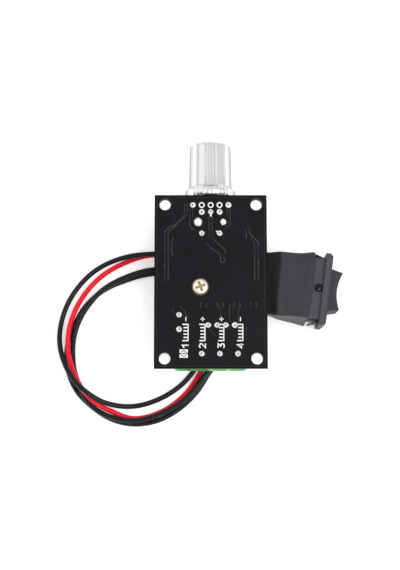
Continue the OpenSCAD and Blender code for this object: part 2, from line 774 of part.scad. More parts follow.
// Finned heat sink, which stands on the table and carries the board
module heat_sink() {
    fin_pitch = (sink_w - fin_t) / (fin_count - 1);
    color([0.15, 0.15, 0.16]) under_board() difference() {
        union() {
            translate([sink_x, sink_y, sink_lift]) cube([sink_w, sink_d, sink_base_t]);
            for (i = [0 : fin_count - 1]) translate([sink_x + i * fin_pitch, sink_y, sink_lift])
                cube([fin_t, sink_d, table_h - sink_lift]);
            translate([sink_screw_x, sink_screw_y, 0]) cylinder(d = boss_d, h = sink_lift + sink_base_t);
            translate([sink_screw_x, sink_screw_y, sink_lift])
                cylinder(d = boss_top_d, h = sink_base_t + boss_top_h);
        }
        translate([sink_screw_x, sink_screw_y, -cut])
            cylinder(d = sink_thread_d + 2 * run_gap, h = sink_screw_l - board_t + 2 * cut);
    }
}

module heat_sink_screw() {
    crown = sink_head_h / 3;
    color([0.82, 0.8, 0.68]) translate([sink_screw_x, sink_screw_y, 0]) difference() {
        union() {
            translate([0, 0, -sink_screw_l]) cylinder(d = sink_thread_d, h = sink_screw_l);
            rotate_extrude() polygon([[0, 0], [sink_head_d / 2, 0],
                [sink_head_d / 2, sink_head_h - 2 * crown],
                [sink_head_d / 2 - crown / 2, sink_head_h - crown],
                [sink_head_d / 4, sink_head_h], [0, sink_head_h]]);
        }
        for (turn = [20, 110]) rotate(turn)
            block([recess_l, recess_w, recess_depth + cut], sink_head_h - recess_depth);
    }
}

module thermal_pads() {
    color([0.75, 0.76, 0.8]) under_board() {
        translate([transistor_x, transistor_y, 0])
            block([transistor_w, transistor_l, pad_film_t], sink_lift - pad_film_t);
        pad_w = sink_x + sink_w - diode_x + diode_l / 2;
        translate([sink_x + sink_w - pad_w / 2, diode_y, 0])
            block([pad_w, diode_w, pad_film_t], sink_lift - pad_film_t);
    }
}

module power_transistor() {
    color([0.12, 0.12, 0.13]) translate([transistor_x, transistor_y, 0]) under_board()
        block([transistor_w, transistor_l, sink_lift - pad_film_t - tab_t], tab_t);
}

module transistor_tabs() {
    color([0.75, 0.74, 0.72]) translate([transistor_x, transistor_y, 0]) under_board() {
        translate([0, tab_out / 2, 0]) block([tab_w, transistor_l + tab_out, tab_t]);
        for (s = [-1, 1]) translate([s * (transistor_w - foot_w) / 2 - s * foot_w / 2,
            -transistor_l / 2 - tab_out / 2 - fit_gap, 0]) block([foot_w, tab_out, tab_t]);
    }
}

module flyback_diode() {
    color([0.13, 0.13, 0.13]) translate([diode_x, diode_y, 0]) under_board()
        block([diode_l, diode_w, sink_lift - pad_film_t - tab_t / 2], tab_t / 2);
}

module diode_tabs() {
    color([0.76, 0.76, 0.74]) translate([diode_x, diode_y, 0]) under_board() for (s = [-1, 1])
        translate([s * (diode_l / 2 - diode_foot_out / 2), 0, 0])
            block([3 * diode_foot_out, diode_w / 2, tab_t / 2]);
}

function shell_y() = header_pin_y + header_back - header_depth / 2;

module header_shell() {
    inner_l = header_l - 2 * header_end_wall;
    inner_depth = header_depth - 2 * header_side_wall;
    color([0.92, 0.9, 0.84]) under_board() difference() {
        translate([header_x, shell_y(), 0]) difference() {
            block([header_l, header_depth, header_h]);
            block([inner_l, inner_depth, header_h], header_floor);
            for (s = [-1, 1]) translate([s * header_l / 4, -header_depth / 2, 0])
                block([header_slot_w, 2 * header_side_wall, header_h], header_h - header_slot_drop);
        }
        for (x = header_pin_x) translate([x, header_pin_y, -cut])
            block([header_pin_w + 2 * run_gap, header_pin_w + 2 * run_gap, header_floor + 2 * cut]);
    }
}

module header_pins() {
    color([0.78, 0.78, 0.76]) under_board() for (x = header_pin_x) translate([x, header_pin_y, 0])
        block([header_pin_w, header_pin_w, header_pin_top + board_t], -board_t);
}

module plug_housing() {
    inner_l = header_l - 2 * header_end_wall;
    inner_depth = header_depth - 2 * header_side_wall;
    plug_h = plug_top - header_floor;
    color([0.95, 0.94, 0.9]) under_board() difference() {
        translate([header_x, shell_y(), header_floor]) {
            block([inner_l - 2 * fit_gap, inner_depth - 2 * fit_gap, plug_h]);
            for (s = [-1, 1]) translate([s * header_l / 4, -inner_depth / 2 - plug_rib_t / 2 + fit_gap, 0])
                block([plug_rib_w, plug_rib_t, plug_h / 2], plug_h / 2);
        }
        for (x = header_pin_x) translate([x, header_pin_y, -cut])
            block([contact_w + 2 * run_gap, contact_w + 2 * run_gap, plug_top + 2 * cut]);
    }
}

// Crimped contacts in the plug, each with the end of its lead
module plug_contacts() {
    color([0.8, 0.78, 0.7]) under_board() for (x = header_pin_x) translate([x, header_pin_y, 0]) {
        difference() {
            block([contact_w, contact_w, contact_top - header_floor - contact_lift],
                header_floor + contact_lift);
            block([contact_w - 2 * contact_wall, contact_w - 2 * contact_wall, contact_top], header_floor);
        }
        translate([0, 0, contact_top]) cylinder(d = lead_d, h = plug_top - contact_top);
    }
}

module capacitor_can() {
    inner = can_d - 2 * can_wall;
    bead_z = can_lift + bung_h / 2 - bead_h / 4;
    color([0.12, 0.12, 0.3]) under_board() translate([can_x, can_y, can_lift]) difference() {
        cylinder(d = can_d, h = can_h);
        translate([0, 0, -cut]) cylinder(d = inner, h = bung_h + cut);
        translate([0, 0, bung_h]) cylinder(d = inner, h = can_h - bung_h - can_wall);
        translate([0, 0, bead_z]) rotate_extrude()
            polygon([[can_d / 2 + cut, 0], [can_d / 2 + cut, bead_h / 2], [can_d / 2, bead_h / 2],
                [can_d / 2 - can_wall / 2, bead_h / 4], [can_d / 2, 0]]);
    }
}

module capacitor_bung() {
    color([0.16, 0.16, 0.16]) under_board() difference() {
        translate([can_x, can_y, can_lift]) cylinder(d = can_d - 2 * can_wall, h = bung_h);
        for (y = can_pin_y) translate([can_x, y, -cut]) cylinder(d = can_lead_d, h = can_h);
    }
}

module capacitor_leads() {
    color([0.78, 0.78, 0.78]) under_board() for (y = can_pin_y) translate([can_x, y, -board_t])
        cylinder(d = can_lead_d, h = board_t + can_lift + bung_h);
}

module timer_chip() {
    color([0.12, 0.12, 0.12]) translate([chip_x, chip_y, 0]) under_board() difference() {
        block([chip_l, chip_w, chip_t], chip_leg_t);
        translate([-chip_l / 2 + chip_leg_pitch / 2, -chip_w / 2 + chip_leg_pitch / 2, chip_t])
            cylinder(d = chip_leg_w, h = chip_leg_t + cut);
    }
}

module timer_chip_legs() {
    color([0.78, 0.78, 0.78]) translate([chip_x, chip_y, 0]) under_board()
        for (i = [0 : 3], s = [-1, 1])
            translate([(i - 1.5) * chip_leg_pitch, s * (chip_w + chip_leg_out) / 2, 0]) {
                block([chip_leg_w, chip_leg_out, chip_leg_t]);
                translate([0, -s * (chip_leg_out - chip_leg_t) / 2, 0])
                    block([chip_leg_w, chip_leg_t, chip_t / 2]);
            }
}

// Chip part with a metal cap on each end
module chip_part(l, w, t) {
    block([l * (1 - 2 * cap_share), w, t - fit_gap]);
    for (s = [-1, 1]) translate([s * l * (1 - cap_share) / 2, 0, 0]) block([l * cap_share, w, t]);
}

module chip_resistors() {
    color([0.1, 0.1, 0.1]) for (p = resistor_places) translate([p[0], p[1], 0]) under_board()
        chip_part(resistor_l, resistor_w, resistor_t);
}

module chip_capacitors() {
    color([0.6, 0.45, 0.3]) for (p = capacitor_places) translate([p[0], p[1], 0]) under_board()
        chip_part(capacitor_l, capacitor_w, capacitor_t);
}

module small_diodes() {
    color([0.1, 0.1, 0.1]) for (p = diode_places) translate([p[0], p[1], 0]) under_board() {
        block([small_diode_l, small_diode_w, small_diode_t]);
        for (s = [-1, 1]) translate([s * (small_diode_l + small_diode_foot) / 2, 0, 0])
            block([small_diode_foot, small_diode_w / 3, chip_leg_t]);
    }
}

// Switch moulding: bevelled flange, hollow body, pivot holes and two sprung latches
module switch_housing() {
    inner_l = body_l - 2 * body_wall;
    inner_w = body_w - 2 * body_wall;
    front = flange_t - flange_edge;
    color([0.2, 0.2, 0.21]) at_switch() difference() {
        union() {
            rounded_bar(0, [front, flange_l, flange_w], flange_corner);
            rounded_bar(front, [flange_edge, flange_l - 2 * flange_edge, flange_w - 2 * flange_edge],
                flange_corner - flange_edge);
            bar(-body_depth, [body_depth, body_l, body_w]);
            for (s = [-1, 1]) latch(s);
        }
        bar(-body_depth - cut, [body_depth + cut, inner_l, inner_w]);
        bar(-cut, [flange_t + 2 * cut, opening_l, opening_w]);
        translate([pivot_x, 0, -body_w]) cylinder(d = pivot_hole_d, h = 2 * body_w);
    }
}

// Sprung latch arm with teeth, which leans out behind the flange
module latch(s) {
    tooth_l = latch_l / latch_teeth;
    step = latch_flare / latch_teeth;
    outer = [for (i = [0 : latch_teeth - 1]) each [
        [-i * tooth_l, latch_root + i * step + latch_t],
        [-(i + 1) * tooth_l, latch_root + (i + 1) * step + latch_t - latch_tooth / 2]]];
    inner = [[-latch_l, latch_root + latch_flare], [0, latch_root]];
    mirror([0, s < 0 ? 1 : 0, 0]) translate([0, 0, -latch_h / 2]) linear_extrude(height = latch_h)
        polygon(concat(outer, inner));
}

// Rear base that closes the switch body and carries the terminals
module switch_base() {
    l = body_l - 2 * body_wall - 2 * fit_gap;
    w = body_w - 2 * body_wall - 2 * fit_gap;
    color([0.14, 0.14, 0.15]) at_switch() difference() {
        bar(-body_depth, [base_t, l, w]);
        for (y = [-1, 0, 1], z = [-1, 1]) translate([0, y * column_y, z * pole_z])
            bar(-body_depth - cut, [base_t + 2 * cut, tab_blade_t + 2 * run_gap, tab_blade_w + 2 * run_gap]);
    }
}

// Rocker with a dished face, trunnions and two stems that hold the plungers
module rocker() {
    foot = rocker_foot_l / 2;
    tip = rocker_tip_l / 2;
    dish = [for (t = [-1 : 0.1 : 1]) [rocker_mid_x + (rocker_tip_x - rocker_mid_x) * t * t, -tip * t]];
    outline = concat([[-rocker_depth, -foot], [-rocker_depth, foot], [0, foot]], dish, [[0, -foot]]);
    color([0.22, 0.22, 0.23]) at_switch() difference() {
        union() {
            translate([0, 0, -rocker_w / 2]) linear_extrude(height = rocker_w) polygon(outline);
            translate([pivot_x, 0, -pivot_reach]) cylinder(d = pivot_d, h = 2 * pivot_reach);
            translate([pivot_x, 0, -pivot_reach - pivot_tip_l])
                cylinder(d = pivot_tip_d, h = 2 * (pivot_reach + pivot_tip_l));
            for (z = [-1, 1]) translate([-rocker_depth - stem_l, 0, z * pole_z])
                rotate([0, 90, 0]) cylinder(d = stem_d, h = stem_l);
        }
        for (z = [-1, 1]) translate([-rocker_depth - stem_l - cut, 0, z * pole_z])
            rotate([0, 90, 0]) cylinder(d = stem_bore_d, h = spring_top() + rocker_depth + stem_l + cut);
    }
}

function plunger_tip() = blade_x + blade_t / 2 + plunger_gap;
function spring_top() = plunger_tip() + plunger_l + spring_l;

module switch_plungers() {
    nose = plunger_d / 4;
    color([0.85, 0.85, 0.8]) at_switch() for (z = [-1, 1])
        translate([plunger_tip(), 0, z * pole_z]) rotate([0, 90, 0]) rotate_extrude()
            polygon([[0, 0], [nose, 0], [plunger_d / 2, nose], [plunger_d / 2, plunger_l], [0, plunger_l]]);
}

module plunger_springs() {
    color([0.7, 0.7, 0.72]) at_switch() for (z = [-1, 1])
        translate([plunger_tip() + plunger_l, 0, z * pole_z]) rotate([0, 90, 0]) difference() {
            cylinder(d = plunger_d, h = spring_l);
            translate([0, 0, -cut]) cylinder(d = spring_bore_d, h = spring_l + 2 * cut);
        }
}

// Two seesaw contact blades, one for each pole
module contact_blades() {
    color([0.8, 0.55, 0.35]) at_switch() for (z = [-1, 1]) translate([0, 0, z * pole_z])
        bar(blade_x - blade_t / 2, [blade_t, blade_l, blade_w]);
}

module switch_terminals() {
    color([0.78, 0.76, 0.68]) at_switch() for (y = [-1, 0, 1], z = [-1, 1])
        translate([0, y * column_y, z * pole_z]) {
            top = y == 0 ? mid_head_x : end_head_x;
            bar(tab_end_x, [top - tab_end_x, tab_blade_t, tab_blade_w]);
            bar(top - head_t, [head_t, head_w, blade_w]);
        }
}

// Bare links that cross between the two end pairs of terminals, for reversing
module cross_links() {
    span = 2 * column_y - tab_blade_t;
    lean = atan2(2 * pole_z, 2 * column_y);
    color([0.8, 0.6, 0.4]) at_switch() for (i = [0, 1]) translate([link_x[i], 0, 0]) intersection() {
        rotate([i == 0 ? lean : -lean, 0, 0]) rotate([90, 0, 0])
            cylinder(d = link_d, h = 2 * span, center = true);
        cube([2 * link_d, span, span], center = true);
    }
}

// Lead ends inside the boot, from the terminals to the boot's tail
module lead_tails() {
    outer = [wire_black_1_route[0], wire_red_route[0], wire_black_2_route[0], wire_black_3_route[0]];
    color([0.15, 0.15, 0.16]) for (i = [0 : 3]) {
        inside = [for (p = tail_routes[i]) from_switch(p)];
        tube(concat(inside, [outer[i]]), lead_d, tail_heading, tail_heading);
    }
}

// Point of the switch's frame in the frame of the whole object
function from_switch(p) = [switch_x + p[0] * cos(switch_turn) - p[1] * sin(switch_turn),
    switch_y + p[0] * sin(switch_turn) + p[1] * cos(switch_turn), switch_z + p[2]];

// Rounded rectangle of the boot's section at one station, drawn in by the inset
function boot_ring(station, inset) = let (r = station[4] - inset)
    [for (c = [0 : 3]) for (a = [0 : 30 : 90]) let (turn = 90 * c + a,
            y = (c == 0 || c == 3 ? 1 : -1) * (station[1] / 2 - inset - r),
            z = c < 2 ? station[3] - inset - r : station[2] + inset + r)
        [station[0], y + r * cos(turn), z + r * sin(turn)]];

// Soft boot over the back of the switch, narrowed to a flat tail for the leads
module switch_boot() {
    low = -boot_w / 2;
    high = boot_w / 2;
    tail_top = low + boot_tail_h;
    r = boot_corner;
    stations = [[boot_mouth_x, boot_l + 2 * boot_flare, low, high, r + boot_flare],
        [boot_fold_x, boot_l, low, high, r], [boot_step_x, boot_step_l, low, boot_step_top, r],
        [boot_back_x, boot_step_l, low, boot_step_top, r],
        [boot_tail_x, boot_tail_l + boot_tail_h / 2, low, tail_top + boot_tail_h / 2, r],
        [boot_end_x, boot_tail_l, low, tail_top, r]];
    last = len(stations) - 1;
    shift = [for (i = [0 : last]) i == last - 2 ? boot_wall : 0];
    outside = [for (q = stations) boot_ring(q, 0)];
    inside = [for (i = [last : -1 : 0]) boot_ring(stations[i] + [shift[i], 0, 0, 0, 0], boot_wall)];
    rings = concat(outside, inside);
    m = len(rings[0]);
    faces = [for (i = [0 : len(rings) - 1]) for (k = [0 : m - 1])
        let (next = (i + 1) % len(rings), a = i * m + k, b = i * m + (k + 1) % m,
            c = next * m + (k + 1) % m, e = next * m + k)
        each [[a, b, c], [a, c, e]]];
    color([0.25, 0.25, 0.26]) at_switch()
        polyhedron(points = [for (q = rings) each q], faces = faces);
}

// Free lead from the boot's tail to the plug
module lead(route) {
    tube(route, lead_d, tail_heading, [0, 0, 1]);
}

module wire_red() { color([0.85, 0.1, 0.18]) lead(wire_red_route); }
module wire_black_1() { color([0.17, 0.18, 0.2]) lead(wire_black_1_route); }
module wire_black_2() { color([0.17, 0.18, 0.2]) lead(wire_black_2_route); }
module wire_black_3() { color([0.17, 0.18, 0.2]) lead(wire_black_3_route); }

circuit_board();
plated_pads();
solder_joints();
pot_bracket();
pot_housing();
pot_track();
pot_pins();
pot_bushing();
pot_shaft();
pot_rotor();
pot_switch_case();
pot_switch_cam();
pot_switch_contacts();
knob();
knob_insert();
terminal_housing();
terminal_contacts();
clamp_screw_1();
clamp_screw_2();
clamp_screw_3();
clamp_screw_4();
clamp_cage_1();
clamp_cage_2();
clamp_cage_3();
clamp_cage_4();
heat_sink();
heat_sink_screw();
thermal_pads();
power_transistor();
transistor_tabs();
flyback_diode();
diode_tabs();
header_shell();
header_pins();
plug_housing();
plug_contacts();
capacitor_can();
capacitor_bung();
capacitor_leads();
timer_chip();
timer_chip_legs();
chip_resistors();
chip_capacitors();
small_diodes();
switch_housing();
switch_base();
rocker();
switch_plungers();
plunger_springs();
contact_blades();
switch_terminals();
cross_links();
lead_tails();
switch_boot();
wire_red();
wire_black_1();
wire_black_2();
wire_black_3();
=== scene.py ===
"""Motor speed controller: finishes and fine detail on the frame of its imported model.

The board lies with its solder side up. Lengths are millimetres in the row frame until a mesh is made.
"""

from __future__ import annotations

import json
import logging
import math
import random
from dataclasses import dataclass, field, replace
from enum import Enum
from typing import Any, Callable, Iterable, Mapping, Protocol, Sequence, TypeAlias

import bmesh
import bpy
from mathutils import Matrix, Vector

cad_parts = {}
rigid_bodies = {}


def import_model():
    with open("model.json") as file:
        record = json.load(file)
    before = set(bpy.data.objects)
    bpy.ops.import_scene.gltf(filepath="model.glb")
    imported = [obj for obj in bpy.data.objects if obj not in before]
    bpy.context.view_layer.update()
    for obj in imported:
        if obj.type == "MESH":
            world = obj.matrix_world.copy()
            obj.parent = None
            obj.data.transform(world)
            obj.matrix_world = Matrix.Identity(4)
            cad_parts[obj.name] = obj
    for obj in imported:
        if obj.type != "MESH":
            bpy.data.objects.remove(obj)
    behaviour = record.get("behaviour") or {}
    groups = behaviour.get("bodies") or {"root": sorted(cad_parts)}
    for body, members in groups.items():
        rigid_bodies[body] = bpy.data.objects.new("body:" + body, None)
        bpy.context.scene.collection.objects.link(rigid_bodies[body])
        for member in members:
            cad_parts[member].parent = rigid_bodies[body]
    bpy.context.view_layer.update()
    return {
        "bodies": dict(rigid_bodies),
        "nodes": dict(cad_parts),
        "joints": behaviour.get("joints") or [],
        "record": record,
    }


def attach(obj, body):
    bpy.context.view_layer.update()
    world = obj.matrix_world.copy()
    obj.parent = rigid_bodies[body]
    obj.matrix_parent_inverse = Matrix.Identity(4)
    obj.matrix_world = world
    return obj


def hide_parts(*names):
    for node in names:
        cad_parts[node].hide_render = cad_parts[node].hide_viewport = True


LOG = logging.getLogger("speed_controller")
MM = 0.001
NOISE_MIDDLE = 0.5
CAN_CENTRE = (-8.95, -11.68)
TINT_SPAN = (0.25, 0.75)

Point = Sequence[float]
Colour = tuple[float, float, float]
Pair = tuple[float, float]
Outline = Sequence[Pair]
Value: TypeAlias = "Signal | float"


class Slot(Enum):
    """Material slots of the record."""

    BOARD = "board_black"
    PAD = "pad_tin"
    SOLDER = "solder"
    BRACKET = "bracket_steel"
    MOULDING = "moulding_black"
    PHENOLIC = "phenolic_brown"
    PIN = "pin_tin"
    BUSHING = "bushing_nickel"
    SHAFT = "shaft_aluminium"
    ROTOR = "rotor_cream"
    CONTACT = "contact_bronze"
    KNOB = "knob_chrome"
    INSERT = "insert_black"
    TERMINAL = "terminal_green"
    SCREW = "screw_zinc"
    CAGE = "cage_nickel"
    SINK = "sink_black"
    SINK_SCREW = "screw_yellow_zinc"
    THERMAL = "thermal_grey"
    PACKAGE = "package_black"
    NYLON = "nylon_white"
    SLEEVE = "sleeve_dark"
    BUNG = "bung_rubber"
    CERAMIC = "ceramic_tan"
    SWITCH = "switch_black"
    ROCKER = "rocker_black"
    BLADE = "blade_copper"
    LEAD_DARK = "lead_slate"
    LEAD_RED = "lead_red"
    BOOT = "boot_black"


# Shader maths


@dataclass(frozen=True)
class Signal:
    """One output socket of a material's nodes, with arithmetic on numbers and other signals.

    Attributes:
        shader: The shader that owns the node.
        socket: The node's output socket.
    """

    shader: Shader
    socket: bpy.types.NodeSocket

    def _math(self, operation: str, *values: Value) -> Signal:
        """Adds one Math node.

        Args:
            operation: The node's operation.
            values: Its inputs in order.

        Returns:
            The node's value.
        """
        return self.shader.node("ShaderNodeMath", {"operation": operation}, dict(enumerate(values)))

    def __add__(self, other: Value) -> Signal:
        """Sum of this value and another."""
        return self._math("ADD", self, other)

    __radd__ = __add__

    def __sub__(self, other: Value) -> Signal:
        """This value less another."""
        return self._math("SUBTRACT", self, other)

    def __rsub__(self, other: Value) -> Signal:
        """Another value less this one."""
        return self._math("SUBTRACT", other, self)

    def __mul__(self, other: Value) -> Signal:
        """Product of this value and another."""
        return self._math("MULTIPLY", self, other)

    __rmul__ = __mul__

    def __abs__(self) -> Signal:
        """Size of this value without its sign."""
        return self._math("ABSOLUTE", self)

    def lesser(self, other: Value) -> Signal:
        """The smaller of this value and another."""
        return self._math("MINIMUM", self, other)

    def within(self, period: float) -> Signal:
        """Place of this value inside a repeating period."""
        return self._math("WRAP", self, period, 0.0)

    def swing(self, change: float) -> Signal:
        """Part of a change that a noise gives, from less than zero to more."""
        return (self - NOISE_MIDDLE) * change

    def rise(self, start: float, end: float) -> Signal:
        """Soft step on this value.

        Args:
            start: Value where the step is 0.
            end: Value where the step is 1; below start for a falling step.

        Returns:
            A mask from 0 to 1.
        """
        return self.shader.node("ShaderNodeMapRange", {"interpolation_type": "SMOOTHSTEP"},
                                {"Value": self, "From Min": start, "From Max": end})


class Detail(Enum):
    """Number of finer layers in a noise."""

    PLAIN = 1.0
    SOFT = 2.0
    EVEN = 3.0
    RICH = 4.0
    SPECKLED = 5.0


@dataclass(frozen=True)
class Mottle:
    """One cloudy variation of a surface, and how strongly it acts there.

    Attributes:
        size: Size of its blotches in millimetres.
        detail: How many finer layers it has.
        span: Values of the noise between which its mask grows.
        share: How much of its colour shows, or the share by which it varies a colour or a height.
        rough: By how much it changes the roughness.
        stretch: How much longer the blotches are along each axis.
    """

    size: float
    detail: Detail = Detail.EVEN
    span: Pair = TINT_SPAN
    share: float = 1.0
    rough: float = 0.0
    stretch: Point = (1, 1, 1)


class Shader:
    """Nodes of one material, round one Principled shader.

    Attributes:
        material: The Blender material.
    """

    def __init__(self, name: str, **fixed: float | Sequence[float]) -> None:
        """Starts a material.

        Args:
            name: Name of the material.
            fixed: Constants of the Principled shader, with underscores for the spaces in their names.
        """
        self.material = bpy.data.materials.new(name)
        self.material.use_nodes = True
        self.tree = self.material.node_tree
        self.tree.nodes.clear()
        self.bsdf = self.tree.nodes.new("ShaderNodeBsdfPrincipled")
        output = self.tree.nodes.new("ShaderNodeOutputMaterial")
        self.tree.links.new(self.bsdf.outputs[0], output.inputs[0])
        self.coords = self.tree.nodes.new("ShaderNodeTexCoord")
        for key, value in fixed.items():
            self.bsdf.inputs[key.replace("_", " ").title().replace("Ior", "IOR")].default_value = value

    def node(self, kind: str, settings: Mapping[str, Any] | None = None,
             inputs: Mapping[str | int, Any] | None = None, output: str | int = 0) -> Signal:
        """Adds any node.

        Args:
            kind: The node's type name.
            settings: Its properties, set first.
            inputs: Values or signals of its input sockets, by name or number.
            output: Name or number of the output that is returned.

        Returns:
            The chosen output.
        """
        made = self.tree.nodes.new(kind)
        for key, value in (settings or {}).items():
            setattr(made, key, value)
        for key, value in (inputs or {}).items():
            self.feed(made.inputs[key], value)
        return Signal(self, made.outputs[output])

    def feed(self, socket: bpy.types.NodeSocket, value: Any) -> None:
        """Links or sets one input socket.

        Args:
            socket: The input.
            value: A signal, a number, a vector or a colour.
        """
        if isinstance(value, Signal):
            self.tree.links.new(value.socket, socket)
        elif socket.type == "RGBA":
            socket.default_value = (*value, 1.0)
        else:
            socket.default_value = value

    def place(self) -> Signal:
        """Place on the piece in millimetres, as a vector."""
        return self.node("ShaderNodeVectorMath", {"operation": "SCALE"},
                         {0: Signal(self, self.coords.outputs["Object"]), "Scale": 1 / MM})

    def axes(self) -> tuple[Signal, Signal, Signal]:
        """Place on the piece in millimetres, as three values."""
        split = self.node("ShaderNodeSeparateXYZ", None, {0: self.place()}).socket.node
        return tuple(Signal(self, split.outputs[i]) for i in range(3))

    def facing(self, axis: int) -> Signal:
        """Part of the piece's own normal along one axis.

        Args:
            axis: 0, 1 or 2 for x, y or z.

        Returns:
            A value from -1 to 1.
        """
        normal = Signal(self, self.coords.outputs["Normal"])
        return self.node("ShaderNodeSeparateXYZ", None, {0: normal}, axis)

    def noise(self, mottle: Mottle) -> Signal:
        """Cloudy variation.

        Args:
            mottle: Its size, detail and stretch.

        Returns:
            A value about 0.5.
        """
        scale = [1 / (mottle.size * s) for s in mottle.stretch]
        spread = self.node("ShaderNodeVectorMath", {"operation": "MULTIPLY"}, {0: self.place(), 1: scale})
        return self.node("ShaderNodeTexNoise", None,
                         {"Vector": spread, "Scale": 1.0, "Detail": mottle.detail.value})

    def patches(self, mottle: Mottle) -> Signal:
        """Mask of a cloudy variation, 1 where its blotches are.

        Args:
            mottle: The variation with its span.

        Returns:
            A mask from 0 to 1.
        """
        return self.noise(mottle).rise(*mottle.span)

    def blend(self, mask: Value, low: Signal | Colour, high: Signal | Colour) -> Signal:
        """Colour between two colours.

        Args:
            mask: 0 gives the first colour, 1 the second.
            low: First colour.
            high: Second colour.

        Returns:
            The blended colour.
        """
        return self.node("ShaderNodeMix", {"data_type": "RGBA"}, {0: mask, 6: low, 7: high}, 2)

    def tint(self, mask: Signal, colour: Colour, change: float) -> Signal:
        """Colour that grows darker and lighter with a mask.

        Args:
            mask: The variation, about 0.5.
            colour: Colour in the middle.
            change: Share by which the colour falls and rises.

        Returns:
            The varied colour.
        """
        low, high = (tuple(c * (1 + s * change) for c in colour) for s in (-1, 1))
        return self.blend(mask.rise(*TINT_SPAN), low, high)

    def finish(self, colour: Signal | Colour, rough: Value, height: Signal | None = None,
               depth: float = 0.0) -> bpy.types.Material:
        """Sets what varies over the surface.

        Args:
            colour: Base colour.
            rough: Roughness.
            height: Relief from 0 to 1, or none.
            depth: Depth of the relief in millimetres.

        Returns:
            The finished material.
        """
        self.feed(self.bsdf.inputs["Base Color"], colour)
        self.feed(self.bsdf.inputs["Roughness"], rough)
        if height is not None:
            bump = self.node("ShaderNodeBump", None, {"Distance": depth * MM, "Height": height})
            self.feed(self.bsdf.inputs["Normal"], bump)
        return self.material


# Finishes


class Finish(Protocol):
    """Something that can make a material."""

    def material(self, name: str) -> bpy.types.Material:
        """Makes the material.

        Args:
            name: Name of the material.

        Returns:
            The material.
        """


class Lay(Enum):
    """Direction of the fine lines on a metal, as the stretch of their noise."""

    NONE = (1, 1, 1)
    X = (40, 1, 1)
    Y = (1, 40, 1)
    Z = (1, 1, 40)


@dataclass(frozen=True)
class Moulded:
    """Moulded plastic with a fine grain and faint clouds.

    Attributes:
        colour: Base colour.
        rough: Roughness.
        shine: Specular level.
        grain: Size of the grain in millimetres.
        depth: Depth of the grain in millimetres.
        cloud: Share by which the colour varies.
        clouds: The clouds.
        grain_rough: Change of the roughness over the grain.
    """

    colour: Colour
    rough: float = 0.45
    shine: float = 0.35
    grain: float = 0.14
    depth: float = 0.006
    cloud: float = 0.14
    clouds: Mottle = Mottle(2.4, rough=0.16)
    grain_rough: float = 0.1

    def material(self, name: str) -> bpy.types.Material:
        """Makes the plastic.

        Args:
            name: Name of the material.

        Returns:
            The material.
        """
        shader = Shader(name, specular_ior_level=self.shine)
        cloud = shader.noise(self.clouds)
        grain = shader.noise(Mottle(self.grain, Detail.SOFT))
        rough = self.rough + cloud.swing(self.clouds.rough) + grain.swing(self.grain_rough)
        return shader.finish(shader.tint(cloud, self.colour, self.cloud), rough, grain, self.depth)


@dataclass(frozen=True)
class Metal:
    """Bare or plated metal with fine lines and a little tarnish.

    Attributes:
        colour: Base colour.
        rough: Roughness.
        lay: Direction of the lines.
        lines: Width of a line in millimetres.
        depth: Depth of a line in millimetres.
        tarnish: Colour of the tarnish.
        amount: Share of the tarnish where it is thickest.
        edge: Grey of the reflection at a grazing view, 1 where the edge stays bright.
        clouds: The tarnished patches; they change the roughness by a share.
        line_rough: Share by which the lines change the roughness.
    """

    colour: Colour
    rough: float = 0.25
    lay: Lay = Lay.NONE
    lines: float = 0.08
    depth: float = 0.003
    tarnish: Colour = (0.4, 0.36, 0.3)
    amount: float = 0.25
    edge: float = 1.0
    clouds: Mottle = Mottle(1.1, Detail.RICH, (0.45, 0.8), rough=0.5)
    line_rough: float = 0.4

    def material(self, name: str) -> bpy.types.Material:
        """Makes the metal.

        Args:
            name: Name of the material.

        Returns:
            The material.
        """
        shader = Shader(name, metallic=1.0, specular_tint=(self.edge, self.edge, self.edge, 1.0))
        cloud = shader.noise(self.clouds)
        lines = shader.noise(Mottle(self.lines, Detail.SOFT, stretch=self.lay.value))
        colour = shader.blend(cloud.rise(*self.clouds.span) * self.amount, self.colour, self.tarnish)
        rough = self.rough * (1 + lines.swing(self.line_rough) + cloud.swing(self.clouds.rough))
        return shader.finish(colour, rough, lines, self.depth)


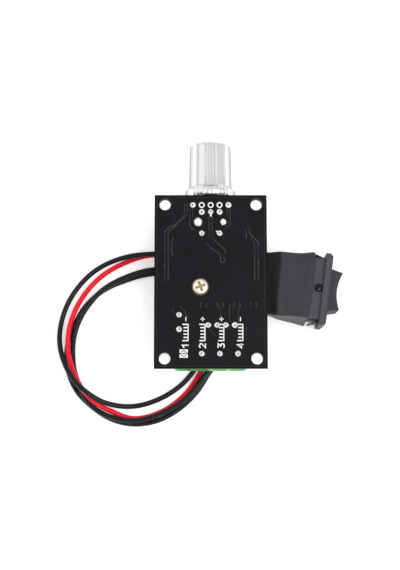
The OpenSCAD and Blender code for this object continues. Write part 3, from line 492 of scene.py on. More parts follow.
@dataclass(frozen=True)
class SolderMask:
    """Black solder mask on glass laminate, with the copper under it, a painted highlight along the copper's
    raised rim, and the sawn edge.

    Attributes:
        mask: Colour of the mask.
        copper: Colour of the mask over the copper pour.
        glass: Colour of the sawn laminate.
        dust: Colour of the dusty specks.
        rim: Colour of the painted highlight along the copper's raised rim under the mask.
        half_width: Half of the board's width.
        half_length: Half of the board's length.
        border: Width of the strip without copper along the edge.
        shine: Specular level.
        ramp: Width of the soft edge of the copper pour.
        rim_edges: Inner and outer edge of the raised rim, from the border.
        rim_highlight_share: How much of the rim's painted highlight shows.
        clouds: Clouds of the mask.
        threads: Glass threads under the mask, their height as a share of the copper's.
        thread_run: How much longer a thread is than wide.
        flat_span: Parts of the normal along z between which a face counts as flat.
        specks: Dusty specks.
        dusty: Patches where the specks lie.
        saw: Marks on the sawn edge.
        rough: Roughness of the mask.
        saw_rough: What the sawn edge adds to the roughness.
        relief: Depth of the relief in millimetres.
    """

    mask: Colour = (0.002, 0.002, 0.0025)
    copper: Colour = (0.0064, 0.0066, 0.0088)
    glass: Colour = (0.13, 0.112, 0.075)
    dust: Colour = (0.022, 0.022, 0.026)
    rim: Colour = (0.05, 0.05, 0.054)
    half_width: float = 16.0
    half_length: float = 24.8
    border: float = 0.5
    shine: float = 0.1
    ramp: float = 0.12
    rim_edges: Pair = (0.28, 0.1)
    rim_highlight_share: float = 0.5
    clouds: Mottle = Mottle(6.0, Detail.RICH, share=0.2, rough=0.12)
    threads: Mottle = Mottle(0.35, Detail.PLAIN, share=0.5)
    thread_run: float = 9
    flat_span: Pair = (0.72, 0.95)
    specks: Mottle = Mottle(0.4, Detail.SPECKLED, (0.56, 0.74), 0.4)
    dusty: Mottle = Mottle(5.0, span=(0.4, 0.65))
    saw: Mottle = Mottle(0.25, share=0.35, stretch=(4, 4, 1))
    rough: float = 0.42
    saw_rough: float = 0.35
    relief: float = 0.012

    def material(self, name: str) -> bpy.types.Material:
        """Makes the board's surface.

        Args:
            name: Name of the material.

        Returns:
            The material.
        """
        shader = Shader(name, specular_ior_level=self.shine)
        x, y, _ = shader.axes()
        inset = (self.half_width - abs(x)).lesser(self.half_length - abs(y))
        pour = inset.rise(self.border, self.border + self.ramp)
        rim = pour * inset.rise(*(self.border + edge for edge in self.rim_edges))
        cloud = shader.noise(self.clouds)
        warp = shader.noise(replace(self.threads, stretch=(self.thread_run, 1, 1)))
        weave = warp + shader.noise(replace(self.threads, stretch=(1, self.thread_run, 1)))
        flat = abs(shader.facing(2)).rise(*self.flat_span)
        dust = shader.patches(self.specks) * shader.patches(self.dusty) * self.specks.share
        clean = shader.tint(cloud, self.copper, self.clouds.share)
        coated = shader.blend(pour, self.mask, shader.blend(dust, clean, self.dust))
        # Painted highlight: a lighter band along the raised rim of the copper pour.
        top = shader.blend(rim * self.rim_highlight_share, coated, self.rim)
        sawn = shader.tint(shader.noise(self.saw), self.glass, self.saw.share)
        rough = self.rough + cloud.swing(self.clouds.rough) + (1 - flat) * self.saw_rough
        height = weave * self.threads.share + pour
        return shader.finish(shader.blend(flat, sawn, top), rough, height, self.relief)


@dataclass(frozen=True)
class Insulation:
    """Soft insulation of a lead, faintly drawn along its length.

    Attributes:
        colour: Base colour.
        shade: Colour of the dull patches.
        rough: Roughness.
        shine: Specular level.
        dull: The dull patches.
        skin: The marks of the skin.
        skin_depth: Depth of the skin's marks in millimetres.
    """

    colour: Colour
    shade: Colour
    rough: float = 0.36
    shine: float = 0.22
    dull: Mottle = Mottle(3.2, Detail.RICH, (0.4, 0.75), 0.6, 0.2)
    skin: Mottle = Mottle(0.2, stretch=(3, 3, 1))
    skin_depth: float = 0.008

    def material(self, name: str) -> bpy.types.Material:
        """Makes the insulation.

        Args:
            name: Name of the material.

        Returns:
            The material.
        """
        shader = Shader(name, specular_ior_level=self.shine)
        patch = shader.noise(self.dull)
        colour = shader.blend(patch.rise(*self.dull.span) * self.dull.share, self.colour, self.shade)
        return shader.finish(colour, self.rough + patch.swing(self.dull.rough), shader.noise(self.skin),
                             self.skin_depth)


@dataclass(frozen=True)
class Vinyl:
    """Dipped vinyl of the boot: matt, softly crumpled and a little dusty.

    Attributes:
        colour: Base colour.
        dust: Colour of the dust on faces that look up.
        tail: Colour past the fold, painted shade where the board shades the boot.
        fold_x: Place of the fold.
        fold_slope: How far the fold runs along x for a length along y.
        fold_half: Half of the width over which the colour changes at the fold.
        shine: Specular level.
        sheen: Strength of the soft sheen.
        sheen_rough: Roughness of the sheen.
        crumples: The crumples.
        skin: Grain of the skin, its height as a share of the crumples'.
        depth: Depth of the crumples in millimetres.
        specks: Dusty specks.
        upward_span: Parts of the normal along z between which a face gathers dust.
        rough: Roughness.
    """

    colour: Colour
    dust: Colour
    tail: Colour
    fold_x: float
    fold_slope: float = 0.1
    fold_half: float = 0.35
    shine: float = 0.22
    sheen: float = 0.05
    sheen_rough: float = 0.5
    crumples: Mottle = Mottle(2.8, Detail.RICH, share=0.12, rough=0.2)
    skin: Mottle = Mottle(0.12, Detail.SOFT, share=0.12)
    depth: float = 0.1
    specks: Mottle = Mottle(0.5, Detail.SPECKLED, (0.62, 0.8), 0.35)
    upward_span: Pair = (0.2, 0.9)
    rough: float = 0.55

    def material(self, name: str) -> bpy.types.Material:
        """Makes the vinyl.

        Args:
            name: Name of the material.

        Returns:
            The material.
        """
        shader = Shader(name, specular_ior_level=self.shine, sheen_weight=self.sheen,
                        sheen_roughness=self.sheen_rough)
        crumple = shader.noise(self.crumples)
        dust = shader.patches(self.specks) * shader.facing(2).rise(*self.upward_span) * self.specks.share
        x, y, _ = shader.axes()
        # Painted shade: past the fold the colour turns to the tail colour, standing in for the board's shade
        # on the boot.
        behind = (x - y * self.fold_slope).rise(self.fold_x + self.fold_half, self.fold_x - self.fold_half)
        clean = shader.tint(crumple, self.colour, self.crumples.share)
        colour = shader.blend(dust, shader.blend(behind, clean, self.tail), self.dust)
        height = crumple + shader.noise(self.skin) * self.skin.share
        return shader.finish(colour, self.rough + crumple.swing(self.crumples.rough), height, self.depth)


@dataclass(frozen=True)
class SinkScrew:
    """Yellow zinc on the screw, with painted shade in its cross recess.

    Attributes:
        colour: Colour of the plating.
        recess_shade: Colour painted as shade in the recess.
        worn: Colour of the worn patches.
        top: Height of the head.
        metal: How metallic the plating is.
        wear: The worn patches.
        recess_span: Depths under the top between which the recess darkens.
        foot_span: Heights between which the dark of the recess ends above the board.
        recess_shade_share: How much of the painted shade shows, and what the patches add to it.
        rough: Roughness.
        depth: Depth of the patches in millimetres.
    """

    colour: Colour = (1.0, 0.94, 0.82)
    recess_shade: Colour = (0.22, 0.12, 0.05)
    worn: Colour = (0.8, 0.62, 0.42)
    top: float = 1.5
    metal: float = 0.75
    wear: Mottle = Mottle(0.6, Detail.RICH, (0.5, 0.75), 0.6, 0.25)
    recess_span: Pair = (0.25, 0.5)
    foot_span: Pair = (0.3, 0.6)
    recess_shade_share: Pair = (0.55, 0.5)
    rough: float = 0.42
    depth: float = 0.02

    def material(self, name: str) -> bpy.types.Material:
        """Makes the screw's plating.

        Args:
            name: Name of the material.

        Returns:
            The material.
        """
        shader = Shader(name, metallic=self.metal)
        _, _, z = shader.axes()
        cloud = shader.noise(self.wear)
        # Painted shade: the cross recess darkens with depth under the head's top, varied by the patches.
        deep = z.rise(*(self.top - depth for depth in self.recess_span)) * z.rise(*self.foot_span)
        wiped = shader.blend(cloud.rise(*self.wear.span) * self.wear.share, self.colour, self.worn)
        colour = shader.blend(deep * (self.recess_shade_share[0] + cloud * self.recess_shade_share[1]), wiped, self.recess_shade)
        return shader.finish(colour, self.rough + cloud.swing(self.wear.rough), cloud, self.depth)


@dataclass(frozen=True)
class Sleeve:
    """Shrunk sleeve of the capacitor with its pale stripe and minus marks.

    Attributes:
        colour: Colour of the sleeve.
        stripe: Colour of the stripe.
        centre: Middle of the can.
        half_width: Half of the stripe's width.
        pitch: Distance between two minus marks.
        mark_height: Distances from a mark's middle, up the can, between which its ink fades in.
        mark_reach: Distances from the stripe's middle between which it fades in.
        print_edge: Width of the soft edge of what is printed.
        side_x: Distance of the striped side from the middle of the can.
        shine: Specular level.
        clouds: The clouds.
        rough: Roughness.
        skin: The wrinkles.
        skin_depth: Depth of the wrinkles in millimetres.
    """

    colour: Colour
    stripe: Colour = (0.55, 0.57, 0.6)
    centre: Pair = CAN_CENTRE
    half_width: float = 1.5
    pitch: float = 3.4
    mark_height: Pair = (0.32, 0.26)
    mark_reach: Pair = (0.85, 0.8)
    print_edge: float = 0.05
    side_x: float = 1.0
    shine: float = 0.5
    clouds: Mottle = Mottle(1.8, share=0.2, rough=0.12)
    rough: float = 0.28
    skin: Mottle = Mottle(0.5, Detail.SOFT)
    skin_depth: float = 0.012

    def material(self, name: str) -> bpy.types.Material:
        """Makes the sleeve.

        Args:
            name: Name of the material.

        Returns:
            The material.
        """
        shader = Shader(name, specular_ior_level=self.shine)
        x, y, z = shader.axes()
        soft = self.print_edge
        across = abs(y - self.centre[1])
        side = x.rise(self.centre[0] - self.side_x, self.centre[0] - self.side_x - 2 * soft)
        band = across.rise(self.half_width + soft, self.half_width - soft) * side
        up = abs(z.within(self.pitch) - self.pitch / 2)
        mark = up.rise(*self.mark_height) * across.rise(*self.mark_reach)
        cloud = shader.noise(self.clouds)
        clean = shader.tint(cloud, self.colour, self.clouds.share)
        colour = shader.blend(band * (1 - mark), clean, self.stripe)
        return shader.finish(colour, self.rough + cloud.swing(self.clouds.rough), shader.noise(self.skin),
                             self.skin_depth)


@dataclass(frozen=True)
class Paper:
    """Seamless pale floor of the studio.

    Attributes:
        colour: Base colour.
        glow: Strength of the light that comes up through it.
        shine: Specular level.
        rough: Roughness.
        clouds: The faint clouds.
    """

    colour: Colour = (0.9, 0.9, 0.905)
    glow: float = 0.46
    shine: float = 0.05
    rough: float = 0.9
    clouds: Mottle = Mottle(60.0, Detail.SOFT, share=0.008)

    def material(self, name: str) -> bpy.types.Material:
        """Makes the floor's surface.

        Args:
            name: Name of the material.

        Returns:
            The material.
        """
        shader = Shader(name, specular_ior_level=self.shine, emission_strength=self.glow,
                        emission_color=(*self.colour, 1.0))
        cloud = shader.noise(self.clouds)
        return shader.finish(shader.tint(cloud, self.colour, self.clouds.share), self.rough)


FINISHES: dict[Slot, Finish] = {
    Slot.BOARD: SolderMask(),
    Slot.PAD: Metal((0.97, 0.97, 0.95), 0.36, tarnish=(0.78, 0.76, 0.72)),
    Slot.SOLDER: Metal((0.98, 0.97, 0.97), 0.36, lines=0.35, depth=0.02, tarnish=(0.74, 0.62, 0.66),
                       amount=0.45),
    Slot.BRACKET: Metal((0.72, 0.72, 0.7), 0.34, Lay.X, 0.1, 0.004, (0.42, 0.38, 0.3), 0.3),
    Slot.MOULDING: Moulded((0.02, 0.02, 0.022), 0.42),
    Slot.PHENOLIC: Moulded((0.16, 0.08, 0.035), 0.5, grain=0.3, cloud=0.3),
    Slot.PIN: Metal((0.8, 0.8, 0.78), 0.28, Lay.Z, 0.06),
    Slot.BUSHING: Metal((0.76, 0.74, 0.68), 0.27, Lay.Y, 0.06, 0.002, (0.5, 0.44, 0.34)),
    Slot.SHAFT: Metal((0.82, 0.82, 0.83), 0.3, Lay.X, 0.05),
    Slot.ROTOR: Moulded((0.72, 0.68, 0.56), 0.5),
    Slot.CONTACT: Metal((0.78, 0.62, 0.34), 0.3, Lay.X, 0.06, 0.002, (0.4, 0.25, 0.12)),
    Slot.KNOB: Metal((0.78, 0.78, 0.79), 0.24, Lay.Y, 0.12, 0.0003, (0.68, 0.68, 0.69), 0.1, 0.28),
    Slot.INSERT: Moulded((0.02, 0.02, 0.02), 0.5),
    Slot.TERMINAL: Moulded((0.012, 0.36, 0.06), 0.34, 0.5, 0.2, 0.004, 0.18),
    Slot.SCREW: Metal((0.78, 0.79, 0.82), 0.25, Lay.X, 0.07, 0.003),
    Slot.CAGE: Metal((0.75, 0.73, 0.64), 0.3, Lay.Z, 0.08),
    Slot.SINK: Moulded((0.016, 0.016, 0.018), 0.36, 0.5, 0.1, 0.01),
    Slot.SINK_SCREW: SinkScrew(),
    Slot.THERMAL: Moulded((0.5, 0.52, 0.58), 0.75, 0.2, 0.25, 0.02),
    Slot.PACKAGE: Moulded((0.016, 0.016, 0.017), 0.55, grain=0.1, depth=0.01),
    Slot.NYLON: Moulded((0.82, 0.79, 0.69), 0.38, 0.45, 0.3, 0.004, 0.05),
    Slot.SLEEVE: Sleeve((0.012, 0.013, 0.05)),
    Slot.BUNG: Moulded((0.02, 0.02, 0.02), 0.8, 0.15),
    Slot.CERAMIC: Moulded((0.42, 0.3, 0.17), 0.4, 0.4, 0.2, 0.004, 0.2),
    Slot.SWITCH: Moulded((0.064, 0.064, 0.077), 0.55, 0.16, 0.16, 0.01, 0.08),
    Slot.ROCKER: Moulded((0.052, 0.052, 0.059), 0.62, 0.12, 0.16, 0.006, 0.08),
    Slot.BLADE: Metal((0.85, 0.5, 0.33), 0.3, Lay.Y, 0.08),
    Slot.LEAD_DARK: Insulation((0.005, 0.007, 0.0095), (0.008, 0.0105, 0.014), 0.3),
    Slot.LEAD_RED: Insulation((0.82, 0.006, 0.026), (0.7, 0.005, 0.018)),
    # The boot's third colour is painted shade past the fold.
    Slot.BOOT: Vinyl((0.03, 0.03, 0.036), (0.07, 0.07, 0.08), (0.009, 0.009, 0.0115), 19.5),
}

EXTRA_FINISHES: dict[str, tuple[Slot, Finish]] = {
    # Painted highlight: lighter than the mask, standing in for light on raised copper edges.
    "edge_highlight": (Slot.BOARD, Moulded((0.066, 0.066, 0.07), 0.5, 0.2, cloud=0.8)),
    # Near black: mask clearances round the pads, and dark discs painted as shade in holes.
    "clearance": (Slot.BOARD, Moulded((0.003, 0.003, 0.0035), 0.4, 0.15)),
    "legend_ink": (Slot.BOARD, Moulded((0.86, 0.86, 0.87), 0.6, 0.2, 0.1, 0.004, 0.06)),
    "bare_glass": (Slot.BOARD, Moulded((0.3, 0.4, 0.27), 0.5, 0.3)),
    "cut_pin": (Slot.PIN, Metal((0.26, 0.24, 0.24), 0.45, lines=0.2, depth=0.02, tarnish=(0.1, 0.09, 0.09),
                                amount=0.6)),
    "end_cap": (Slot.CERAMIC, Metal((0.8, 0.8, 0.79), 0.3, lines=0.12, depth=0.008)),
    "resistor_body": (Slot.CERAMIC, Moulded((0.02, 0.02, 0.022), 0.35, 0.4)),
    "can_metal": (Slot.SLEEVE, Metal((0.82, 0.82, 0.83), 0.3)),
    "crimp": (Slot.CONTACT, Metal((0.8, 0.79, 0.74), 0.28)),
    "bare_copper": (Slot.BLADE, Metal((0.83, 0.45, 0.28), 0.35)),
}


class Finishes:
    """Materials made so far, one for each finish."""

    def __init__(self) -> None:
        """Starts with none made."""
        self.made: dict[str, bpy.types.Material] = {}

    def of(self, finish: Slot | str) -> bpy.types.Material:
        """Gives the material of a finish.

        Args:
            finish: A slot of the record, or the name of an extra finish.

        Returns:
            The material, made the first time it is asked for.
        """
        name = finish.value if isinstance(finish, Slot) else finish
        if name not in self.made:
            recipe = FINISHES[finish] if isinstance(finish, Slot) else EXTRA_FINISHES[finish][1]
            self.made[name] = recipe.material(name)
        return self.made[name]

    @staticmethod
    def slot(finish: Slot | str) -> str:
        """Gives the record's slot name that a finish belongs to."""
        return (finish if isinstance(finish, Slot) else EXTRA_FINISHES[finish][0]).value


# Frames and meshes


@dataclass(frozen=True)
class Axes:
    """Local frame of a sub-assembly.

    Attributes:
        matrix: From the local frame to the row frame, in millimetres.
    """

    matrix: Matrix

    def __call__(self, point: Point) -> Vector:
        """Place of a local point in the row frame."""
        return self.matrix @ Vector(point)


BOARD_T = 1.6
AXIS_Z = -8.6
TABLE_Z = -15.85
SWITCH_PLACE = (31.9, -1.89)
SWITCH_HALF = 7.5
SWITCH_TURN = math.radians(-7.35)
UP = Axes(Matrix.Identity(4))
UNDER = Axes(Matrix.Translation((0, 0, -BOARD_T)) @ Matrix.Diagonal((1, 1, -1, 1)))
SWITCH = Axes(Matrix.Translation((*SWITCH_PLACE, TABLE_Z + SWITCH_HALF))
              @ Matrix.Rotation(SWITCH_TURN, 4, "Z"))
WELD = 1e-7
MITRE_LIMIT = 0.5
SHORT_SIDE = 0.1
BEVEL_STEPS = 2
BEVEL_FROM = math.radians(35)


def on_shaft(y: float) -> Axes:
    """Frame on the knob's axis with z along it, from a place y along the board."""
    return Axes(Matrix.Translation((0, y, AXIS_Z)) @ Matrix.Rotation(math.radians(-90), 4, "X"))


def full_turn(sides: int) -> list[float]:
    """Angles of the points of a ring."""
    return [2 * math.pi * k / sides for k in range(sides)]


class Form:
    """Mesh that is being built, in millimetres.

    Attributes:
        axes: Frame in which the points are given.
    """

    def __init__(self, axes: Axes = UP) -> None:
        """Starts an empty mesh.

        Args:
            axes: Frame in which its points are given.
        """
        self.axes = axes
        self.points: list[Vector] = []
        self.faces: list[tuple[int, ...]] = []

    def add(self, points: Iterable[Point], faces: Iterable[Sequence[int]]) -> None:
        """Adds points and the faces on them.

        Args:
            points: Points in the form's frame.
            faces: Faces by the numbers of these points.
        """
        start = len(self.points)
        self.points += [self.axes(p) for p in points]
        self.faces += [tuple(start + i for i in f) for f in faces]

    def loft(self, rings: Sequence[Sequence[Point]], caps: bool = True, loop: bool = False) -> None:
        """Adds a skin over rings of equal length.

        Args:
            rings: The rings in order.
            caps: Whether the first and last rings are closed by a face.
            loop: Whether the last ring joins the first.
        """
        n = len(rings[0])
        faces: list[Sequence[int]] = []
        for i in range(len(rings) if loop else len(rings) - 1):
            a, b = i * n, (i + 1) % len(rings) * n
            faces += [(a + k, a + (k + 1) % n, b + (k + 1) % n, b + k) for k in range(n)]
        if caps and not loop:
            faces += [range(n), range((len(rings) - 1) * n, len(rings) * n)]
        self.add([p for ring in rings for p in ring], faces)

    def revolve(self, outline: Outline, centre: Point = (0, 0, 0), sides: int = 32, loop: bool = False,
                shape: Callable[[float, float, float], float] | None = None) -> None:
        """Adds a turned body round the local z axis.

        Args:
            outline: Radius and height of each ring, in order.
            centre: Foot of the axis.
            sides: Points of a ring.
            loop: Whether the outline is closed on itself, as for a hollow ring.
            shape: Radius from angle, radius and height, for a body that isn't quite round.
        """
        turns = full_turn(sides)
        keep = shape or (lambda angle, radius, height: radius)
        rings = [[(centre[0] + keep(a, r, z) * math.cos(a), centre[1] + keep(a, r, z) * math.sin(a),
                   centre[2] + z) for a in turns] for r, z in outline]
        self.loft(rings, loop=loop)

    def block(self, low: Point, high: Point) -> None:
        """Adds a block.

        Args:
            low: Its lowest corner.
            high: Its highest corner.
        """
        x, y, z = zip(low, high)
        ring = [(0, 0), (1, 0), (1, 1), (0, 1)]
        self.loft([[(x[i], y[j], z[k]) for i, j in ring] for k in (0, 1)])

    def box(self, centre: Point, size: Point) -> None:
        """Adds a block by its centre and size."""
        self.block([c - s / 2 for c, s in zip(centre, size)], [c + s / 2 for c, s in zip(centre, size)])

    def ribbon(self, path: Outline, width: float, low: float, high: float) -> None:
        """Adds a flat strip along a path.

        Args:
            path: Places along its middle.
            width: Width of the strip.
            low: Height of its underside.
            high: Height of its top.
        """
        spots = [Vector(p) for p in path]
        rings = []
        for i, spot in enumerate(spots):
            ahead = (spots[min(i + 1, len(spots) - 1)] - spot).normalized()
            behind = (spot - spots[max(i - 1, 0)]).normalized()
            along = (ahead + behind).normalized()
            side = Vector((-along.y, along.x)) * width / 2 / max(
                MITRE_LIMIT, along.dot(ahead) or along.dot(behind))
            left, right = spot + side, spot - side
            rings.append([(*left, low), (*right, low), (*right, high), (*left, high)])
        self.loft(rings)

    def rod(self, path: Sequence[Point], radius: float, sides: int = 12) -> None:
        """Adds a round bar along a path.

        Args:
            path: Places along its middle.
            radius: Radius of the bar.
            sides: Points round it.
        """
        spots = [Vector(p) for p in path]
        side = Vector((0, 0, 1))
        rings = []
        for i, spot in enumerate(spots):
            along = (spots[min(i + 1, len(spots) - 1)] - spots[max(i - 1, 0)]).normalized()
            side = side - along * side.dot(along)
            side = (side if side.length > SHORT_SIDE else along.orthogonal()).normalized()
            other = along.cross(side)
            rings.append([spot + radius * (math.cos(a) * side + math.sin(a) * other)
                          for a in full_turn(sides)])
        self.loft(rings)


@dataclass(frozen=True)
class Coat:
    """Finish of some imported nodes.

    Attributes:
        finish: The finish.
        nodes: Names of the nodes.
        edge: Width of their softened edges in millimetres, or 0 for none.
    """

    finish: Slot
    nodes: Sequence[str]
    edge: float = 0.0


class Bench:
    """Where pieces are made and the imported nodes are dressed.

    Attributes:
        nodes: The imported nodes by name.
        finishes: The materials.
    """

    def __init__(self, frame: Mapping[str, Any]) -> None:
        """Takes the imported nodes.
        """
        self.nodes: Mapping[str, bpy.types.Object] = frame["nodes"]
        self.finishes = Finishes()

    def dress(self, coat: Coat) -> None:
        """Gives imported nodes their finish.

        Args:
            coat: The finish and the nodes.
        """
        for name in coat.nodes:
            node = self.nodes[name]
            node.data.materials.clear()
            node.data.materials.append(self.finishes.of(coat.finish))
            if coat.edge:
                self.soften(node, coat.edge)
            LOG.info("dressed %s", name)

    @staticmethod
    def soften(piece: bpy.types.Object, width: float) -> None:
        """Rounds the sharp edges of a piece.

        Args:
            piece: The object.
            width: Width of the softened edges in millimetres.
        """
        bevel = piece.modifiers.new("softened_edges", "BEVEL")
        bevel.width = width * MM
        bevel.segments = BEVEL_STEPS
        bevel.limit_method = "ANGLE"
        bevel.angle_limit = BEVEL_FROM
        bevel.harden_normals = False

    def place(self, piece: bpy.types.Object, finish: Slot | str, body: str,
              stands_for: Sequence[str]) -> None:
        """Puts a piece on its body and hides the nodes that it stands for.

        Args:
            piece: The new object.
            finish: Its finish.
            body: Name of the body that carries it.
            stands_for: Names of the nodes that it replaces.
        """
        bpy.context.scene.collection.objects.link(piece)
        piece.data.materials.append(self.finishes.of(finish))
        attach(piece, body)
        self.finishes.slot(finish)
        if stands_for:
            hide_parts(*stands_for)
        LOG.info("made %s on %s", piece.name, body)

    def make(self, form: Form, name: str, finish: Slot | str, body: str = "board",
             stands_for: Sequence[str] = (), bevel: float = 0.0, sharp: float = 38.0) -> bpy.types.Object:
        """Turns a form into a piece.

        Args:
            form: The mesh.
            name: Name of the piece.
            finish: Its finish.
            body: Name of the body that carries it.
            stands_for: Names of the nodes that it replaces.
            bevel: Width of the softened edges in millimetres, or 0 for none.
            sharp: Angle in degrees from which an edge stays sharp.

        Returns:
            The new object.
        """
        mesh = bpy.data.meshes.new(name)
        mesh.from_pydata([p * MM for p in form.points], [], form.faces)
        work = bmesh.new()
        work.from_mesh(mesh)
        bmesh.ops.remove_doubles(work, verts=work.verts, dist=WELD)
        bmesh.ops.recalc_face_normals(work, faces=work.faces)
        work.to_mesh(mesh)
        work.free()
        mesh.shade_smooth()
        mesh.set_sharp_from_angle(angle=math.radians(sharp))
        piece = bpy.data.objects.new(name, mesh)
        self.place(piece, finish, body, stands_for)
        if bevel:
            self.soften(piece, bevel)
        return piece


@dataclass
class SubAssembly:
    """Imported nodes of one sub-assembly that get a finish.

    Attributes:
        coats: The finishes with their nodes.
    """

    coats: Sequence[Coat] = ()

    def build(self, bench: Bench) -> None:
        """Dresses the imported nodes."""
        for coat in self.coats:
            bench.dress(coat)


# Leads


@dataclass(frozen=True)
class Lead:
    """One free lead from the boot to the plug.

    Attributes:
        node: Name of the node that it stands for.
        finish: Its finish.
        length: Its real length in millimetres; not used.
        route: Places along its middle.
    """

    node: str
    finish: Slot
    length: float
    route: Sequence[Point]


REST_Z = -15.05
PLUG_Z = -11.4


@dataclass
class Leads:
    """The four leads of the rocker switch.

    Attributes:
        diameter: Outer diameter of a lead.
        settle: Height over the table below which a lead levels out.
        curve_steps: Steps between two places of a route.
        round_steps: Steps of a quarter of the lead's girth.
        heading: Direction in which the leads leave the boot.
        leads: The leads with their routes.
    """

    diameter: float = 1.5
    settle: float = 0.6
    curve_steps: int = 10
    round_steps: int = 5
    heading: Vector = field(
        default_factory=lambda: Vector((-math.cos(SWITCH_TURN), -math.sin(SWITCH_TURN), 0)))
    leads: Sequence[Lead] = (
        Lead("wire_black_1", Slot.LEAD_DARK, 143, (
            (11.8, 3.4, -13.8), (10.2, 3.6, -13.8), (4.8, 8.4, -14.9), (-8, 10, -14), (-17, 10, -13.4),
            (-25, 9, -13.4), (-33, 5.9, -14.9), (-39.4, -0.2, REST_Z), (-43.3, -8, REST_Z),
            (-44.2, -15.6, -14.2), (-42.2, -22.8, -11.7), (-38.7, -28.2, -10.7), (-35.3, -31.2, -10.7),
            (-30.6, -33.8, -12.3), (-22.8, -34.8, -14.9), (-14.8, -32.6, REST_Z), (-7.6, -27.7, REST_Z),
            (-2.7, -20.8, REST_Z), (-0.8, -15.6, REST_Z), (-0.75, -14, -14.6), (-0.75, -12.9, -13.5),
            (-0.75, -12.54, PLUG_Z))),
        Lead("wire_red", Slot.LEAD_RED, 143.5, (
            (11.6, 1.6, -13.8), (9.5, 1.8, -13.8), (4.2, 6.8, -14.9), (-8, 8.2, REST_Z),
            (-17, 9.9, REST_Z), (-25, 7.7, REST_Z), (-33, 2.8, REST_Z), (-38.4, -4.2, -13.9),
            (-41.2, -11.6, -13.4), (-41.5, -19, -13.2), (-39.5, -25.6, -12.6), (-36.3, -31, -12.3),
            (-33.4, -33.7, -12.6), (-29.3, -36, -14.2), (-22.4, -38.3, REST_Z), (-14.2, -36.3, REST_Z),
            (-7.3, -31.2, REST_Z), (-2.4, -24, REST_Z), (1.7, -15.6, REST_Z), (1.75, -14, -14.6),
            (1.75, -12.9, -13.5), (1.75, -12.54, PLUG_Z))),
        Lead("wire_black_2", Slot.LEAD_DARK, 141, (
            (11.4, -0.2, -13.8), (8.7, 0.1, -13.8), (3.4, 5.2, -14.9), (-17, 5.3, -13.5),
            (-25, 3, -13.45), (-31.7, -0.8, -13.45), (-36, -5.6, -13.45), (-38.5, -10, -13.5),
            (-40, -15, -14), (-40.3, -20, REST_Z), (-39.7, -24.6, -14.7), (-38.3, -28.4, -14),
            (-36.3, -32.7, -13.4), (-32.8, -36, -13.45), (-28, -38.2, -13.45), (-21, -38.9, -13.45),
            (-13.6, -36.6, -13.45), (-7, -32.5, -13.45), (-1.4, -25.5, -13.4), (3.8, -16.1, -14.3),
            (4.25, -14, -14.6), (4.25, -12.9, -13.5), (4.25, -12.54, PLUG_Z))),
        Lead("wire_black_3", Slot.LEAD_DARK, 145, (
            (11.2, -2, -13.8), (7.9, -1.6, -13.8), (2.6, 3.6, REST_Z), (-17, 4.3, REST_Z),
            (-25, 2.3, REST_Z), (-32, -1, REST_Z), (-36.9, -5.6, REST_Z), (-40.2, -11.6, REST_Z),
            (-42.1, -18, REST_Z), (-41.6, -24.4, REST_Z), (-39.2, -30, REST_Z), (-34.6, -34.8, REST_Z),
            (-29, -38.4, REST_Z), (-22.6, -39.9, REST_Z), (-15.4, -38.9, REST_Z), (-9, -35.4, REST_Z),
            (-4, -30.6, REST_Z), (-0.1, -24.6, REST_Z), (6.5, -15.9, REST_Z), (6.75, -14, -14.6),
            (6.75, -12.9, -13.5), (6.75, -12.54, PLUG_Z))),
    )

    def _headings(self, spots: Sequence[Vector]) -> list[Vector]:
        """Direction of a lead at each place of its route.

        Args:
            spots: The places.

        Returns:
            Unit vectors, fixed at the boot and at the plug.
        """
        inner = []
        for a, b, c in zip(spots, spots[1:], spots[2:]):
            way = (b - a).normalized() + (c - b).normalized()
            way.z *= min(1.0, (b.z - REST_Z) / self.settle)
            inner.append(way.normalized())
        return [self.heading, *inner, Vector((0, 0, 1))]

    def build(self, bench: Bench) -> None:
        """Args:
            bench: Where the pieces are made.
        """
        for lead in self.leads:
            spots = [Vector(p) for p in lead.route]
            curve = bpy.data.curves.new(f"{lead.node}_insulation", "CURVE")
            curve.dimensions = "3D"
            curve.resolution_u = self.curve_steps
            curve.bevel_depth = self.diameter / 2 * MM
            curve.bevel_resolution = self.round_steps
            curve.use_fill_caps = True
            spline = curve.splines.new("BEZIER")
            spline.bezier_points.add(len(spots) - 1)
            for i, (point, spot, way) in enumerate(zip(spline.bezier_points, spots, self._headings(spots))):
                before = (spot - spots[max(i - 1, 0)]).length or 1.0
                after = (spots[min(i + 1, len(spots) - 1)] - spot).length or 1.0
                point.handle_left_type = point.handle_right_type = "FREE"
                point.co = spot * MM
                point.handle_left = (spot - way * before / 3) * MM
                point.handle_right = (spot + way * after / 3) * MM
            piece = bpy.data.objects.new(curve.name, curve)
            bench.place(piece, lead.finish, "board", [lead.node])


# Board


ANY_PHASE = 6.28
NUMERALS: Mapping[int, Sequence[Outline]] = {
    1: (((0, 0.7), (0.5, 1.0), (0.5, 0.0)),),
    2: (((0, 0.82), (0.35, 1.0), (0.78, 0.82), (0.78, 0.58), (0, 0), (0.82, 0)),),
    3: (((0, 1.0), (0.8, 1.0), (0.35, 0.6), (0.78, 0.42), (0.72, 0.1), (0.35, 0), (0, 0.12)),),
    4: (((0.62, 0), (0.62, 1.0), (0, 0.32), (0.85, 0.32)),),
}


@dataclass
class Board(SubAssembly):
    """The circuit board and its plated pads."""

    coats: Sequence[Coat] = (Coat(Slot.BOARD, ("circuit_board",), 0.1), Coat(Slot.PAD, ("plated_pads",)))


